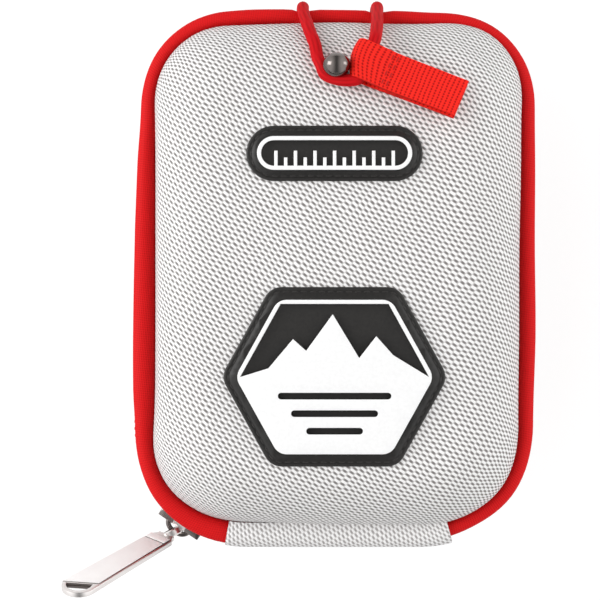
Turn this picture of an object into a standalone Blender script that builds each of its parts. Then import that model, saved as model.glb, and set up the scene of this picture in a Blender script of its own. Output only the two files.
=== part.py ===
"""Zippered hard case for a hand-held rangefinder, lying on its back with the lid shut.

+X is the case's right, +Y its top, where the elastic loop is, and +Z its front. The origin is the middle of
the flat back face. Heights in the rim and shell functions are counted from the zip plane, outwards.
"""

import math

import bmesh
import bpy
from mathutils import Matrix, Vector

MM = 0.001
GAP = 0.3 * MM  # between pieces that touch

# Moulded halves
SHELL_WIDTH = 101.4 * MM
SHELL_LENGTH = 136.4 * MM
TOP_CORNER = 21.7 * MM
FOOT_CORNER = 26.9 * MM
CASE_DEPTH = 56.0 * MM
WALL_DRAFT = math.radians(12)
SHOULDER_RADIUS = 18.0 * MM
LID_CROWN = 1.2 * MM
COVER = 0.8 * MM
FOAM = 3.5 * MM
LINING = 0.6 * MM

# Rim: zip, tapes and piping
ZIP_SLIT = 1.0 * MM  # from the zip plane to each row of teeth, unzipped
TOOTH_WIDTH = 1.6 * MM
TOOTH_HEIGHT = 1.6 * MM
TOOTH_SETBACK = 0.2 * MM  # teeth lie this far inside the piping's outer edge
TAPE = 0.6 * MM
TAPE_LEG = 0.4 * MM  # tape seen between the teeth and the seam
SEAM_DEPTH = 5.5 * MM  # how far the seam reaches in under the shell's edge
PIPING_RADIUS = 2.2 * MM
PIPING_TAIL = 0.6 * MM
ZIP_STOP = 1.2 * MM  # from the hinge strip's end to the zip's end

# Hinge strip
STRIP_HALF = 31.0 * MM
STRIP = 1.3 * MM
STRIP_LAP = 1.3 * MM  # cloth that lies on the shell's wall past the piping

# Ball stud
STUD_INSET = 13.6 * MM  # from the shell's top edge
BALL_RADIUS = 3.5 * MM
BALL_RISE = 5.2 * MM
NECK_RADIUS = 2.2 * MM
SHANK_RADIUS = 1.6 * MM
PEEN_RADIUS = 2.6 * MM
PEEN = 1.2 * MM
STUD_WASHER_RADIUS = 4.0 * MM
STUD_WASHER = 0.8 * MM

# Elastic loop and its anchors
CORD_RADIUS = 1.5 * MM
EYELET_DROP = 11.8 * MM  # from the zip plane
EYELET_FLANGE = 3.4 * MM
EYELET_WALL = 0.6 * MM
KNOT_RADIUS = 3.0 * MM
LEFT_STRAND = -8.4 * MM
RIGHT_STRAND = 12.0 * MM

# Webbing tab
TAB_WIDTH = 10.7 * MM
TAB_REACH = 26.7 * MM  # from the cord to the tab's end
WEBBING = 1.1 * MM
TAB_PLAY = 0.5 * MM  # between the cord and the folded webbing
TAB_X = 8.9 * MM
TAB_ANGLE = math.radians(65.8)  # where the fold lies on the shoulder
TAB_TILT = math.radians(14)
TAB_TURN = math.radians(-22)

# Patches
PILL_WIDTH = 47.1 * MM
PILL_HEIGHT = 14.8 * MM
PILL_Y = 32.5 * MM
PILL_LINE_INSET = 2.9 * MM
BADGE_WIDTH = 60.6 * MM
BADGE_HEIGHT = 47.9 * MM
BADGE_FLAT = 34.0 * MM
BADGE_CORNER = 5.0 * MM
BADGE_Y = -27.1 * MM
BADGE_LINE_INSET = 3.4 * MM
RUBBER = 1.6 * MM
INLAY = 0.5 * MM
LINE = 1.1 * MM
TICK_PITCH = 2.6 * MM
TICK_WIDTH = 0.9 * MM
TICK_SHORT = 2.2 * MM
TICK_LONG = 4.0 * MM

# Slider and pull
SLIDER_CLEARANCE = 2.36 * MM  # from the hinge strip's end to the parked slider
SLIDER_LENGTH = 13.0 * MM
SLIDER_PLATE = 1.2 * MM
SLIDER_FLANGE = 0.6 * MM
SLIDER_LIP = 1.6 * MM
SLIDER_POST = 1.2 * MM
INNER_PLATE_WIDTH = 4.6 * MM
BEND_ROOM = 0.7 * MM  # the straight slider on the curved zip
BRIDGE_HALF = 3.4 * MM
BRIDGE_RISE = 2.8 * MM
BRIDGE_RADIUS = 0.55 * MM
PULL_LENGTH = 43.0 * MM
PULL_ROOT = 3.8 * MM  # width beside the eye
PULL_SHOULDER = 3.4 * MM  # from the root to the full width
PULL_WIDTH = 7.8 * MM
PULL_TIP = 9.8 * MM
PULL_PLATE = 1.6 * MM
PULL_HOLE_WIDTH = 6.4 * MM
PULL_HOLE_LENGTH = 5.8 * MM
PULL_HOLE_EDGE = 1.8 * MM
EYE_RADIUS = 2.5 * MM
EYE_WIRE = 0.7 * MM
PULL_LIFT = math.radians(45)  # of the tip, from level
PULL_TURN = math.radians(-28.6)  # from straight out of the slider
PULL_ROLL = math.radians(55)

# Mesh fineness
CORNER_STEPS = 6
LONG_SIDE_STEPS = 3
SHORT_SIDE_STEPS = 2
SHOULDER_STEPS = 4
BEAD_STEPS = 8
ROUND_STEPS = 16
CROWN_RINGS = (0.62, 0.28)
CROWN_CUT = 9.0 * MM
CORD_STEP = 1.8 * MM

# Heights from the zip plane, and reaches outwards from the shell's outline
SEAM = ZIP_SLIT + TOOTH_WIDTH + TAPE_LEG
TAIL = SEAM + TAPE + GAP
EDGE = TAIL + PIPING_TAIL + GAP
BEAD_HEIGHT = TAIL + PIPING_RADIUS
BEAD_REACH = PIPING_RADIUS + GAP
RIM_REACH = BEAD_REACH + PIPING_RADIUS
TOOTH_TOP = RIM_REACH - TOOTH_SETBACK
TOOTH_FOOT = TOOTH_TOP - TOOTH_HEIGHT
TAPE_TOP = TOOTH_FOOT - GAP
FOAM_START = COVER + GAP
LINING_START = FOAM_START + FOAM + GAP
WALL = LINING_START + LINING
TAB_LIFT = CORD_RADIUS + TAB_PLAY + WEBBING + GAP
ZIP_PLANE = CASE_DEPTH / 2
STRIP_TURN = math.asin((STRIP_HALF - SHELL_WIDTH / 2 + FOOT_CORNER) / FOOT_CORNER)
ZIP_END = STRIP_TURN + ZIP_STOP / FOOT_CORNER
SLIDER_ANGLE = 1.5 * math.pi - STRIP_TURN - (SLIDER_CLEARANCE + SLIDER_LENGTH / 2) / FOOT_CORNER
LID = 1
BACK = -1
CROWN = {LID: LID_CROWN, BACK: 0.0}

for old in list(bpy.data.objects):
    bpy.data.objects.remove(old, do_unlink=True)
parts = bpy.data.collections.new("rangefinder_case")
cutters = bpy.data.collections.new("cutters")
for collection in (parts, cutters):
    bpy.context.scene.collection.children.link(collection)


def material(name, colour, roughness, metallic=0.0):
    made = bpy.data.materials.new(name)
    made.use_nodes = True
    shader = made.node_tree.nodes["Principled BSDF"]
    shader.inputs["Base Color"].default_value = (*colour, 1.0)
    shader.inputs["Roughness"].default_value = roughness
    shader.inputs["Metallic"].default_value = metallic
    made.diffuse_color = (*colour, 1.0)
    return made


CLOTH = material("grey_ballistic_cloth", (0.68, 0.67, 0.67), 0.7)
EVA = material("black_eva_foam", (0.03, 0.03, 0.03), 0.9)
KNIT = material("black_knit_lining", (0.02, 0.02, 0.02), 0.95)
RED_CLOTH = material("red_piping_cloth", (0.66, 0.015, 0.016), 0.6)
RED_TAPE = material("red_zip_tape", (0.55, 0.012, 0.014), 0.8)
RED_NYLON = material("red_zip_nylon", (0.6, 0.012, 0.014), 0.45)
ELASTIC = material("red_elastic_cord", (0.72, 0.016, 0.025), 0.6)
WEB = material("red_webbing", (0.84, 0.024, 0.02), 0.6)
BLACK_RUBBER = material("black_rubber", (0.016, 0.015, 0.014), 0.5)
WHITE_RUBBER = material("white_rubber", (0.85, 0.85, 0.85), 0.5)
STEEL = material("polished_steel", (0.62, 0.6, 0.58), 0.12, 1.0)
NICKEL = material("nickel_plate", (0.72, 0.7, 0.68), 0.18, 1.0)


def axis(name, place, turn=None):
    """An empty on a joint's axis, which carries the pieces that move about it."""
    empty = bpy.data.objects.new(name, None)
    empty.matrix_world = Matrix.Translation(place) @ (turn or Matrix.Identity(4))
    parts.objects.link(empty)
    return empty


def add(name, bm, skin, carrier=None, smooth=True):
    """Turns a mesh under construction into a piece, carried by an axis if it moves."""
    bmesh.ops.recalc_face_normals(bm, faces=bm.faces)
    mesh = bpy.data.meshes.new(name)
    bm.to_mesh(mesh)
    bm.free()
    mesh.materials.append(skin)
    if smooth:
        mesh.shade_smooth()
        mesh.set_sharp_from_angle(angle=math.radians(35))
    piece = bpy.data.objects.new(name, mesh)
    parts.objects.link(piece)
    carry(piece, carrier)
    return piece


def carry(piece, carrier):
    if carrier:
        bpy.context.view_layer.update()
        piece.parent = carrier
        piece.matrix_parent_inverse = carrier.matrix_world.inverted()


def as_cutter(piece):
    for collection in piece.users_collection:
        collection.objects.unlink(piece)
    cutters.objects.link(piece)
    piece.hide_render = True
    piece.display_type = "WIRE"
    return piece


def cut(piece, cutter, operation="DIFFERENCE"):
    boolean = piece.modifiers.new(cutter.name, "BOOLEAN")
    boolean.object = cutter
    boolean.operation = operation


def cylinder(name, radius, length, frame):
    """A round bar along the frame's Z, centred on its origin, for cutting."""
    bm = bmesh.new()
    bmesh.ops.create_cone(
        bm, cap_ends=True, segments=ROUND_STEPS, radius1=radius, radius2=radius, depth=length, matrix=frame
    )
    return as_cutter(add(name, bm, STEEL))


def grid(rows, around, along):
    """A closed solid through rows of points, joined around each row, along the rows, or both."""
    bm = bmesh.new()
    verts = [[bm.verts.new(point) for point in row] for row in rows]
    for j in range(len(rows) if along else len(rows) - 1):
        here, there = verts[j], verts[(j + 1) % len(rows)]
        for i in range(len(here) if around else len(here) - 1):
            k = (i + 1) % len(here)
            bm.faces.new((here[i], here[k], there[k], there[i]))
    if not along:
        bm.faces.new(verts[0])
        bm.faces.new(verts[-1])
    if not around:
        bm.faces.new([row[0] for row in verts])
        bm.faces.new([row[-1] for row in verts])
    return bm


def arc(centre, radius, start, end, steps):
    angles = [start + (end - start) * i / steps for i in range(steps + 1)]
    return [(centre[0] + radius * math.cos(a), centre[1] + radius * math.sin(a)) for a in angles]


def side(start, end, steps):
    """The points between two corners of the outline."""
    shares = [i / steps for i in range(1, steps)]
    return [(start[0] + (end[0] - start[0]) * s, start[1] + (end[1] - start[1]) * s) for s in shares]


def corner_centre(right, top):
    radius = TOP_CORNER if top else FOOT_CORNER
    return (right * (SHELL_WIDTH / 2 - radius), (SHELL_LENGTH / 2 - radius) * (1 if top else -1))


def around_case(reach, start=1.5 * math.pi, end=1.5 * math.pi):
    """The shell's outline moved outwards by reach, from an angle on the foot's left corner, over the top, to
    one on the foot's right corner."""
    foot, top = FOOT_CORNER + reach, TOP_CORNER + reach
    turns = (
        arc(corner_centre(-1, False), foot, start, math.pi, CORNER_STEPS),
        arc(corner_centre(-1, True), top, math.pi, 0.5 * math.pi, CORNER_STEPS),
        arc(corner_centre(1, True), top, 0.5 * math.pi, 0.0, CORNER_STEPS),
        arc(corner_centre(1, False), foot, 2 * math.pi, end, CORNER_STEPS),
    )
    line = list(turns[0])
    for turn, steps in zip(turns[1:], (LONG_SIDE_STEPS, SHORT_SIDE_STEPS, LONG_SIDE_STEPS)):
        line += side(line[-1], turn[0], steps)
        line += turn
    return line


def outline(reach):
    """The closed outline."""
    line = around_case(reach)
    return line + side(line[-1], line[0], SHORT_SIDE_STEPS)


def foot_line(reach):
    """The outline's foot, as wide as the hinge strip."""
    radius = FOOT_CORNER + reach
    down = 1.5 * math.pi
    left = arc(corner_centre(-1, False), radius, down - STRIP_TURN, down, 3)
    right = arc(corner_centre(1, False), radius, down, down + STRIP_TURN, 3)
    return left + side(left[-1], right[0], SHORT_SIDE_STEPS) + right


def level(half, height):
    return ZIP_PLANE + half * height


def swept(section, path, half):
    """Rows that carry a section, given as (reach, height), along a path."""
    return [[(x, y, level(half, height)) for x, y in path(reach)] for reach, height in section]


def shoulder(half):
    """The shoulder's radius, the inset and height of its centre, and the angle where it meets the crown."""
    crown = CROWN[half]
    radius = min(SHOULDER_RADIUS, 0.85 * min(TOP_CORNER, FOOT_CORNER))
    slope = 4 * crown / SHELL_WIDTH
    height = CASE_DEPTH / 2 - crown - radius * math.cos(slope)
    wall = height + radius * math.sin(WALL_DRAFT) - EDGE
    inset = radius * math.cos(WALL_DRAFT) + wall * math.tan(WALL_DRAFT)
    return radius, inset, height, math.pi / 2 - slope


def shoulder_point(half, angle, lift):
    """Inset and height of the point at an angle on the shoulder, lifted off the cover's face."""
    radius, inset, height, _ = shoulder(half)
    return inset - (radius + lift) * math.cos(angle), height + (radius + lift) * math.sin(angle)


def top_place(half, x, angle, lift):
    """The same point on the case's top side."""
    inset, height = shoulder_point(half, angle, lift)
    return Vector((x, SHELL_LENGTH / 2 - inset, level(half, height)))


def crown_rise(x, y, half, depth=0.0):
    """How far the crown stands above the edge of the shoulder."""
    inset = shoulder_point(half, shoulder(half)[3], -depth)[0]
    across = x / (SHELL_WIDTH / 2 - inset)
    down = y / (SHELL_LENGTH / 2 - inset)
    return CROWN[half] * (1 - across**2) * (1 - down**2)


def lid_face(x, y):
    """Height of the lid's face above the back face."""
    angle = shoulder(LID)[3]
    return level(LID, shoulder_point(LID, angle, 0.0)[1] + crown_rise(x, y, LID))


def face_rings(half, depth):
    """Rings from the shell's edge to its middle, at a depth under the cover's face."""
    last = shoulder(half)[3]
    angles = [WALL_DRAFT + (last - WALL_DRAFT) * i / SHOULDER_STEPS for i in range(SHOULDER_STEPS + 1)]
    profile = [(depth / math.cos(WALL_DRAFT), EDGE)] + [shoulder_point(half, a, -depth) for a in angles]
    rings = [[(x, y, level(half, height)) for x, y in outline(-inset)] for inset, height in profile]
    if CROWN[half]:
        edge, height = rings[-1], profile[-1][1]
        for scale in CROWN_RINGS:
            flat = [(x * scale, y * scale) for x, y, _ in edge]
            rings.append([(x, y, level(half, height + crown_rise(x, y, half, depth))) for x, y in flat])
    return rings


def shell_layer(name, half, depth, thick, skin, carrier):
    rows = face_rings(half, depth)[::-1] + face_rings(half, depth + thick)
    return add(name, grid(rows, True, False), skin, carrier)


def layers(prefix, half, carrier):
    return [
        shell_layer(f"{prefix}_cover", half, 0.0, COVER, CLOTH, carrier),
        shell_layer(f"{prefix}_foam", half, FOAM_START, FOAM, EVA, carrier),
        shell_layer(f"{prefix}_lining", half, LINING_START, LINING, KNIT, carrier),
    ]


def piping(prefix, half, carrier):
    """A round bead with a flat tail that is sewn in under the shell's edge."""
    dip = math.asin((TAIL + PIPING_TAIL - BEAD_HEIGHT) / PIPING_RADIUS)
    bead = arc((BEAD_REACH, BEAD_HEIGHT), PIPING_RADIUS, -0.5 * math.pi, math.pi - dip, BEAD_STEPS)
    section = [(-SEAM_DEPTH, TAIL + PIPING_TAIL), (-SEAM_DEPTH, TAIL)] + bead
    add(f"{prefix}_piping", grid(swept(section, outline, half), True, True), RED_CLOTH, carrier)


def zip_side(prefix, half, start, carrier):
    """One tape with its row of teeth, which runs round the case from start to the foot's right corner."""

    def path(reach):
        return around_case(reach, start, 1.5 * math.pi + ZIP_END)

    tape = [
        (TAPE_TOP - TAPE, ZIP_SLIT),
        (TAPE_TOP, ZIP_SLIT),
        (TAPE_TOP, SEAM + TAPE),
        (-SEAM_DEPTH, SEAM + TAPE),
        (-SEAM_DEPTH, SEAM),
        (TAPE_TOP - TAPE, SEAM),
    ]
    end = ZIP_SLIT + TOOTH_WIDTH
    teeth = [(TOOTH_FOOT, ZIP_SLIT), (TOOTH_TOP, ZIP_SLIT), (TOOTH_TOP, end), (TOOTH_FOOT, end)]
    add(f"{prefix}_zip_tape", grid(swept(tape, path, half), False, True), RED_TAPE, carrier)
    add(f"{prefix}_zip_teeth", grid(swept(teeth, path, half), False, True), RED_NYLON, carrier)


def hinge_strip():
    """Cloth that goes from the lid's wall, round both beads, to the back's wall."""
    inner, outer = PIPING_RADIUS + GAP, PIPING_RADIUS + GAP + STRIP
    centre = (BEAD_REACH, BEAD_HEIGHT)
    lap = -STRIP_LAP
    inside = [(lap, BEAD_HEIGHT + inner)] + arc(centre, inner, 0.5 * math.pi, 0.0, 3)
    outside = arc(centre, outer, 0.0, 0.5 * math.pi, 3) + [(lap, BEAD_HEIGHT + outer)]
    wall = (BEAD_HEIGHT + inner - EDGE) * math.tan(WALL_DRAFT) - GAP / math.cos(WALL_DRAFT)
    high = (BEAD_HEIGHT + outer - EDGE) * math.tan(WALL_DRAFT) - GAP / math.cos(WALL_DRAFT)
    inside[0] = (max(lap, -wall), inside[0][1])
    outside[-1] = (max(lap, -high), outside[-1][1])
    mirrored_inside = [(reach, -height) for reach, height in inside[::-1]]
    mirrored_outside = [(reach, -height) for reach, height in outside[::-1]]
    section = inside + mirrored_inside + mirrored_outside + outside
    add("hinge_strip", grid(swept(section, foot_line, LID), False, True), CLOTH)


def turned(name, profile, skin, carrier, frame):
    """A piece turned about the frame's Z from a profile given as (radius, height), top to bottom."""
    mesh = bpy.data.meshes.new(name)
    mesh.from_pydata([(radius, 0.0, height) for radius, height in profile], [], [])
    bm = bmesh.new()
    bm.from_mesh(mesh)
    bm.verts.ensure_lookup_table()
    closed = profile[0][0] > 0
    for i in range(len(profile) if closed else len(profile) - 1):
        bm.edges.new((bm.verts[i], bm.verts[(i + 1) % len(profile)]))
    bm.to_mesh(mesh)
    bm.free()
    mesh.materials.append(skin)
    piece = bpy.data.objects.new(name, mesh)
    parts.objects.link(piece)
    piece.matrix_world = frame
    screw = piece.modifiers.new("turn", "SCREW")
    screw.steps = screw.render_steps = ROUND_STEPS
    screw.use_merge_vertices = True
    screw.merge_threshold = 0.00001
    screw.use_smooth_shade = True
    carry(piece, carrier)
    return piece


def frame_along(place, direction):
    """A frame at a place, with its Z along a direction."""
    return Matrix.Translation(place) @ direction.to_track_quat("Z", "Y").to_matrix().to_4x4()


def stud_angle():
    radius, inset, _, _ = shoulder(LID)
    return math.acos((inset - STUD_INSET) / radius)


def stud_frame():
    """On the cover's face under the ball, with Z out of the lid."""
    angle = stud_angle()
    return frame_along(top_place(LID, 0.0, angle, 0.0), Vector((0.0, math.cos(angle), math.sin(angle))))


def ball_stud(lid_layers, carrier):
    """A ball on a neck, riveted over a washer inside the lid."""
    bed = shoulder(LID)[0] - WALL
    hollow = bed - math.sqrt(bed**2 - STUD_WASHER_RADIUS**2)
    washer_top = -(WALL + hollow + GAP)
    washer_foot = washer_top - STUD_WASHER
    peen_top = washer_foot - GAP
    low = -math.acos(NECK_RADIUS / BALL_RADIUS)
    ball = arc((0.0, BALL_RISE), BALL_RADIUS, 0.5 * math.pi, low, 7)
    profile = [(0.0, BALL_RISE + BALL_RADIUS)] + ball[1:] + [
        (NECK_RADIUS, GAP),
        (SHANK_RADIUS, GAP),
        (SHANK_RADIUS, peen_top),
        (PEEN_RADIUS, peen_top),
        (PEEN_RADIUS, peen_top - PEEN / 2),
        (SHANK_RADIUS, peen_top - PEEN),
        (0.0, peen_top - PEEN),
    ]
    frame = stud_frame()
    turned("stud_ball", profile, STEEL, carrier, frame)
    bore = SHANK_RADIUS + GAP
    ring = [
        (bore, washer_top),
        (STUD_WASHER_RADIUS, washer_top),
        (STUD_WASHER_RADIUS, washer_foot),
        (bore, washer_foot),
    ]
    turned("stud_washer", ring, STEEL, carrier, frame)
    hole = cylinder("stud_hole", bore, 4 * WALL, frame)
    for layer in lid_layers:
        cut(layer, hole)


def eyelet_frame(x):
    """On the back's top wall, with Z out of the wall."""
    inset = (EYELET_DROP - EDGE) * math.tan(WALL_DRAFT)
    place = Vector((x, SHELL_LENGTH / 2 - inset, level(BACK, EYELET_DROP)))
    return frame_along(place, Vector((0.0, math.cos(WALL_DRAFT), -math.sin(WALL_DRAFT))))


def cord_end():
    """Depth under the cover's face where the cord meets its knot."""
    return -(WALL + 2 * GAP + EYELET_WALL)


def cord_anchor(side_name, x, back_layers):
    """An eyelet through the back's wall, and the knot that rests on it inside."""
    frame = eyelet_frame(x)
    bore = CORD_RADIUS + GAP
    barrel = bore + EYELET_WALL
    inside = -(WALL + GAP)
    profile = [
        (bore, GAP + EYELET_WALL),
        (EYELET_FLANGE, GAP + EYELET_WALL),
        (EYELET_FLANGE, GAP),
        (barrel, GAP),
        (barrel, inside),
        (EYELET_FLANGE, inside),
        (EYELET_FLANGE, inside - EYELET_WALL),
        (bore, inside - EYELET_WALL),
    ]
    turned(f"cord_eyelet_{side_name}", profile, NICKEL, None, frame)
    hole = cylinder(f"eyelet_hole_{side_name}", barrel + GAP, 4 * WALL, frame)
    for layer in back_layers:
        cut(layer, hole)
    middle = frame @ Vector((0.0, 0.0, cord_end() - GAP - KNOT_RADIUS))
    bm = bmesh.new()
    bmesh.ops.create_uvsphere(
        bm, u_segments=12, v_segments=8, radius=KNOT_RADIUS, matrix=frame_along(middle, frame.col[2].xyz)
    )
    add(f"cord_knot_{side_name}", bm, ELASTIC)


def tab_axes():
    """The tab's middle on the cord, and its ways along its length, out of the lid and along the cord."""
    place = top_place(LID, TAB_X, TAB_ANGLE, TAB_LIFT)
    out = Vector((0.0, math.sin(TAB_TILT), math.cos(TAB_TILT)))
    along = Vector((math.cos(TAB_TURN), math.sin(TAB_TURN), 0.0))
    along.z = -along.dot(out) / out.z
    along.normalize()
    return place, along, out, out.cross(along)


def bead_place(x, half, angle):
    """The cord's middle beside a bead on the case's top side, at an angle from straight out."""
    away = PIPING_RADIUS + CORD_RADIUS + GAP
    y = SHELL_LENGTH / 2 + BEAD_REACH + away * math.cos(angle)
    return Vector((x, y, level(half, BEAD_HEIGHT + away * math.sin(angle))))


def strand_start(x):
    """From the knot, out of the eyelet and over both beads."""
    frame = eyelet_frame(x)
    inside = [frame @ Vector((0.0, 0.0, depth)) for depth in (cord_end(), -WALL / 2, 2 * CORD_RADIUS)]
    beads = [
        bead_place(x, BACK, math.radians(45)),
        bead_place(x, BACK, 0.0),
        bead_place(x, LID, 0.0),
        bead_place(x, LID, math.radians(50)),
    ]
    return inside + beads


def cord_route():
    """The route's own points: left strand, round under the ball, through the tab, right strand."""
    rest = CORD_RADIUS + GAP
    left = [(-6.3 * MM, 35), (-5.1 * MM, 50), (-4.5 * MM, 62)]
    shoulder_run = [top_place(LID, x, math.radians(degrees), rest) for x, degrees in left]
    frame = stud_frame()
    ring = math.sqrt((BALL_RADIUS + rest) ** 2 - (BALL_RISE - rest) ** 2)
    up = Vector((0.0, math.sin(stud_angle()), -math.cos(stud_angle())))
    middle = frame @ Vector((0.0, 0.0, rest))
    turns = [math.radians(degrees) for degrees in (180, 222, 264)]
    loop = [middle + ring * (Vector((math.cos(t), 0.0, 0.0)) + up * math.sin(t)) for t in turns]
    place, _, _, cord_way = tab_axes()
    tab = [place + cord_way * TAB_WIDTH * share for share in (-0.6, -0.25, 0.25, 0.6)]
    bend = [loop[-1].lerp(tab[0], 0.55) - up * 0.6 * CORD_RADIUS]
    return strand_start(LEFT_STRAND) + shoulder_run + loop + bend + tab + strand_start(RIGHT_STRAND)[::-1]


def smooth_line(points, step):
    """A smooth curve through the points, read at even steps."""
    ends = [2 * points[0] - points[1], *points, 2 * points[-1] - points[-2]]
    fine = []
    for a, b, c, d in zip(ends, ends[1:], ends[2:], ends[3:]):
        knots = [0.0]
        for start, end in ((a, b), (b, c), (c, d)):
            knots.append(knots[-1] + math.sqrt((end - start).length))
        for i in range(20):
            t = knots[1] + (knots[2] - knots[1]) * i / 20
            fine.append(spline_point((a, b, c, d), knots, t))
    fine.append(points[-1])
    total = sum((q - p).length for p, q in zip(fine, fine[1:]))
    count = max(2, round(total / step))
    line, walked, index = [fine[0]], 0.0, 0
    for i in range(1, count):
        target = total * i / count
        while walked + (fine[index + 1] - fine[index]).length < target:
            walked += (fine[index + 1] - fine[index]).length
            index += 1
        share = (target - walked) / (fine[index + 1] - fine[index]).length
        line.append(fine[index].lerp(fine[index + 1], share))
    return line + [fine[-1]]


def spline_point(points, knots, t):
    """A point on the curve between the middle two of four points."""
    a, b, c, d = points
    middle = mix(b, c, knots[1], knots[2], t)
    low = mix(mix(a, b, knots[0], knots[1], t), middle, knots[0], knots[2], t)
    high = mix(middle, mix(c, d, knots[2], knots[3], t), knots[1], knots[3], t)
    return mix(low, high, knots[1], knots[2], t)


def mix(p, q, start, end, t):
    return p.lerp(q, (t - start) / (end - start))


def tube(name, points, radius, skin, carrier, origin):
    """A round cord through points, with filled ends."""
    curve = bpy.data.curves.new(name, "CURVE")
    curve.dimensions = "3D"
    curve.bevel_depth = radius
    curve.bevel_resolution = 2
    curve.use_fill_caps = True
    spline = curve.splines.new("POLY")
    spline.points.add(len(points) - 1)
    for spot, point in zip(spline.points, points):
        spot.co = (*(point - origin), 1.0)
        spot.tilt = 0.0
    curve.materials.append(skin)
    piece = bpy.data.objects.new(name, curve)
    piece.location = origin
    parts.objects.link(piece)
    carry(piece, carrier)
    return piece


def flat_curve(name, contours, thick):
    """A 2D curve with holes, made a mesh of the given thickness about Z = 0."""
    curve = bpy.data.curves.new(name, "CURVE")
    curve.dimensions = "2D"
    curve.fill_mode = "BOTH"
    curve.extrude = thick / 2
    for contour in contours:
        spline = curve.splines.new("POLY")
        spline.use_cyclic_u = True
        spline.points.add(len(contour) - 1)
        for spot, (x, y) in zip(spline.points, contour):
            spot.co = (x, y, 0.0, 1.0)
    holder = bpy.data.objects.new(name, curve)
    parts.objects.link(holder)
    bpy.context.view_layer.update()
    mesh = bpy.data.meshes.new_from_object(holder.evaluated_get(bpy.context.evaluated_depsgraph_get()))
    bpy.data.objects.remove(holder)
    bm = bmesh.new()
    bm.from_mesh(mesh)
    bmesh.ops.remove_doubles(bm, verts=bm.verts, dist=0.00001)
    return bm


def on_lid(name, contours, thick, lift, skin, carrier):
    """A flat shape laid on the lid's crowned face."""
    bm = flat_curve(name, contours, thick)
    for direction in (Vector((1, 0, 0)), Vector((0, 1, 0))):
        spread = [vert.co.dot(direction) for vert in bm.verts]
        first = math.ceil(min(spread) / CROWN_CUT)
        for i in range(first, math.floor(max(spread) / CROWN_CUT) + 1):
            everything = bm.verts[:] + bm.edges[:] + bm.faces[:]
            bmesh.ops.bisect_plane(
                bm, geom=everything, dist=0.00001, plane_co=direction * i * CROWN_CUT, plane_no=direction
            )
    for vert in bm.verts:
        vert.co.z += lid_face(vert.co.x, vert.co.y) + lift + thick / 2
    return add(name, bm, skin, carrier, smooth=False)


def inset_polygon(corners, inset):
    """A convex outline, listed anticlockwise, moved inwards."""
    moved = []
    for before, here, after in zip(corners[-1:] + corners[:-1], corners, corners[1:] + corners[:1]):
        a = (Vector(here) - Vector(before)).normalized()
        b = (Vector(after) - Vector(here)).normalized()
        inner_a, inner_b = Vector((-a.y, a.x)), Vector((-b.y, b.x))
        half = (inner_a + inner_b).normalized()
        moved.append(Vector(here) + half * inset / half.dot(inner_a))
    return moved


def rounded(corners, radius, steps=3):
    """An outline with its corners rounded."""
    line = []
    for before, here, after in zip(corners[-1:] + corners[:-1], corners, corners[1:] + corners[:1]):
        here = Vector(here)
        to_before = (Vector(before) - here).normalized()
        to_after = (Vector(after) - here).normalized()
        half_angle = to_before.angle(to_after) / 2
        middle = here + (to_before + to_after).normalized() * radius / math.sin(half_angle)
        start = here + to_before * radius / math.tan(half_angle) - middle
        sweep = math.pi - 2 * half_angle
        for i in range(steps + 1):
            turn = Matrix.Rotation(sweep * i / steps, 2)
            line.append(tuple(middle + turn @ start))
    return line


def stadium(width, height, y, steps=8):
    """A bar with round ends, anticlockwise from its foot's right end."""
    radius = height / 2
    half = width / 2 - radius
    right = arc((half, y), radius, -0.5 * math.pi, 0.5 * math.pi, steps)
    return right + arc((-half, y), radius, 0.5 * math.pi, 1.5 * math.pi, steps)


def pill_patch(carrier):
    """A rubber bar with a raised white line and a ruler's ticks."""
    on_lid("pill_patch", [stadium(PILL_WIDTH, PILL_HEIGHT, PILL_Y)], RUBBER, GAP, BLACK_RUBBER, carrier)
    width, height = PILL_WIDTH - 2 * PILL_LINE_INSET, PILL_HEIGHT - 2 * PILL_LINE_INSET
    inner_height = height - 2 * LINE
    window = stadium(width - 2 * LINE, inner_height, PILL_Y)
    foot = PILL_Y - inner_height / 2
    straight = width - height
    count = int(straight / TICK_PITCH / 2)
    comb = []
    for i in range(-count, count + 1):
        tall = TICK_LONG if i % 2 == 0 else TICK_SHORT
        left, right = i * TICK_PITCH - TICK_WIDTH / 2, i * TICK_PITCH + TICK_WIDTH / 2
        comb += [(left, foot), (left, foot + tall), (right, foot + tall), (right, foot)]
    lift = RUBBER + 2 * GAP
    on_lid("pill_line", [stadium(width, height, PILL_Y), window + comb], INLAY, lift, WHITE_RUBBER, carrier)


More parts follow.
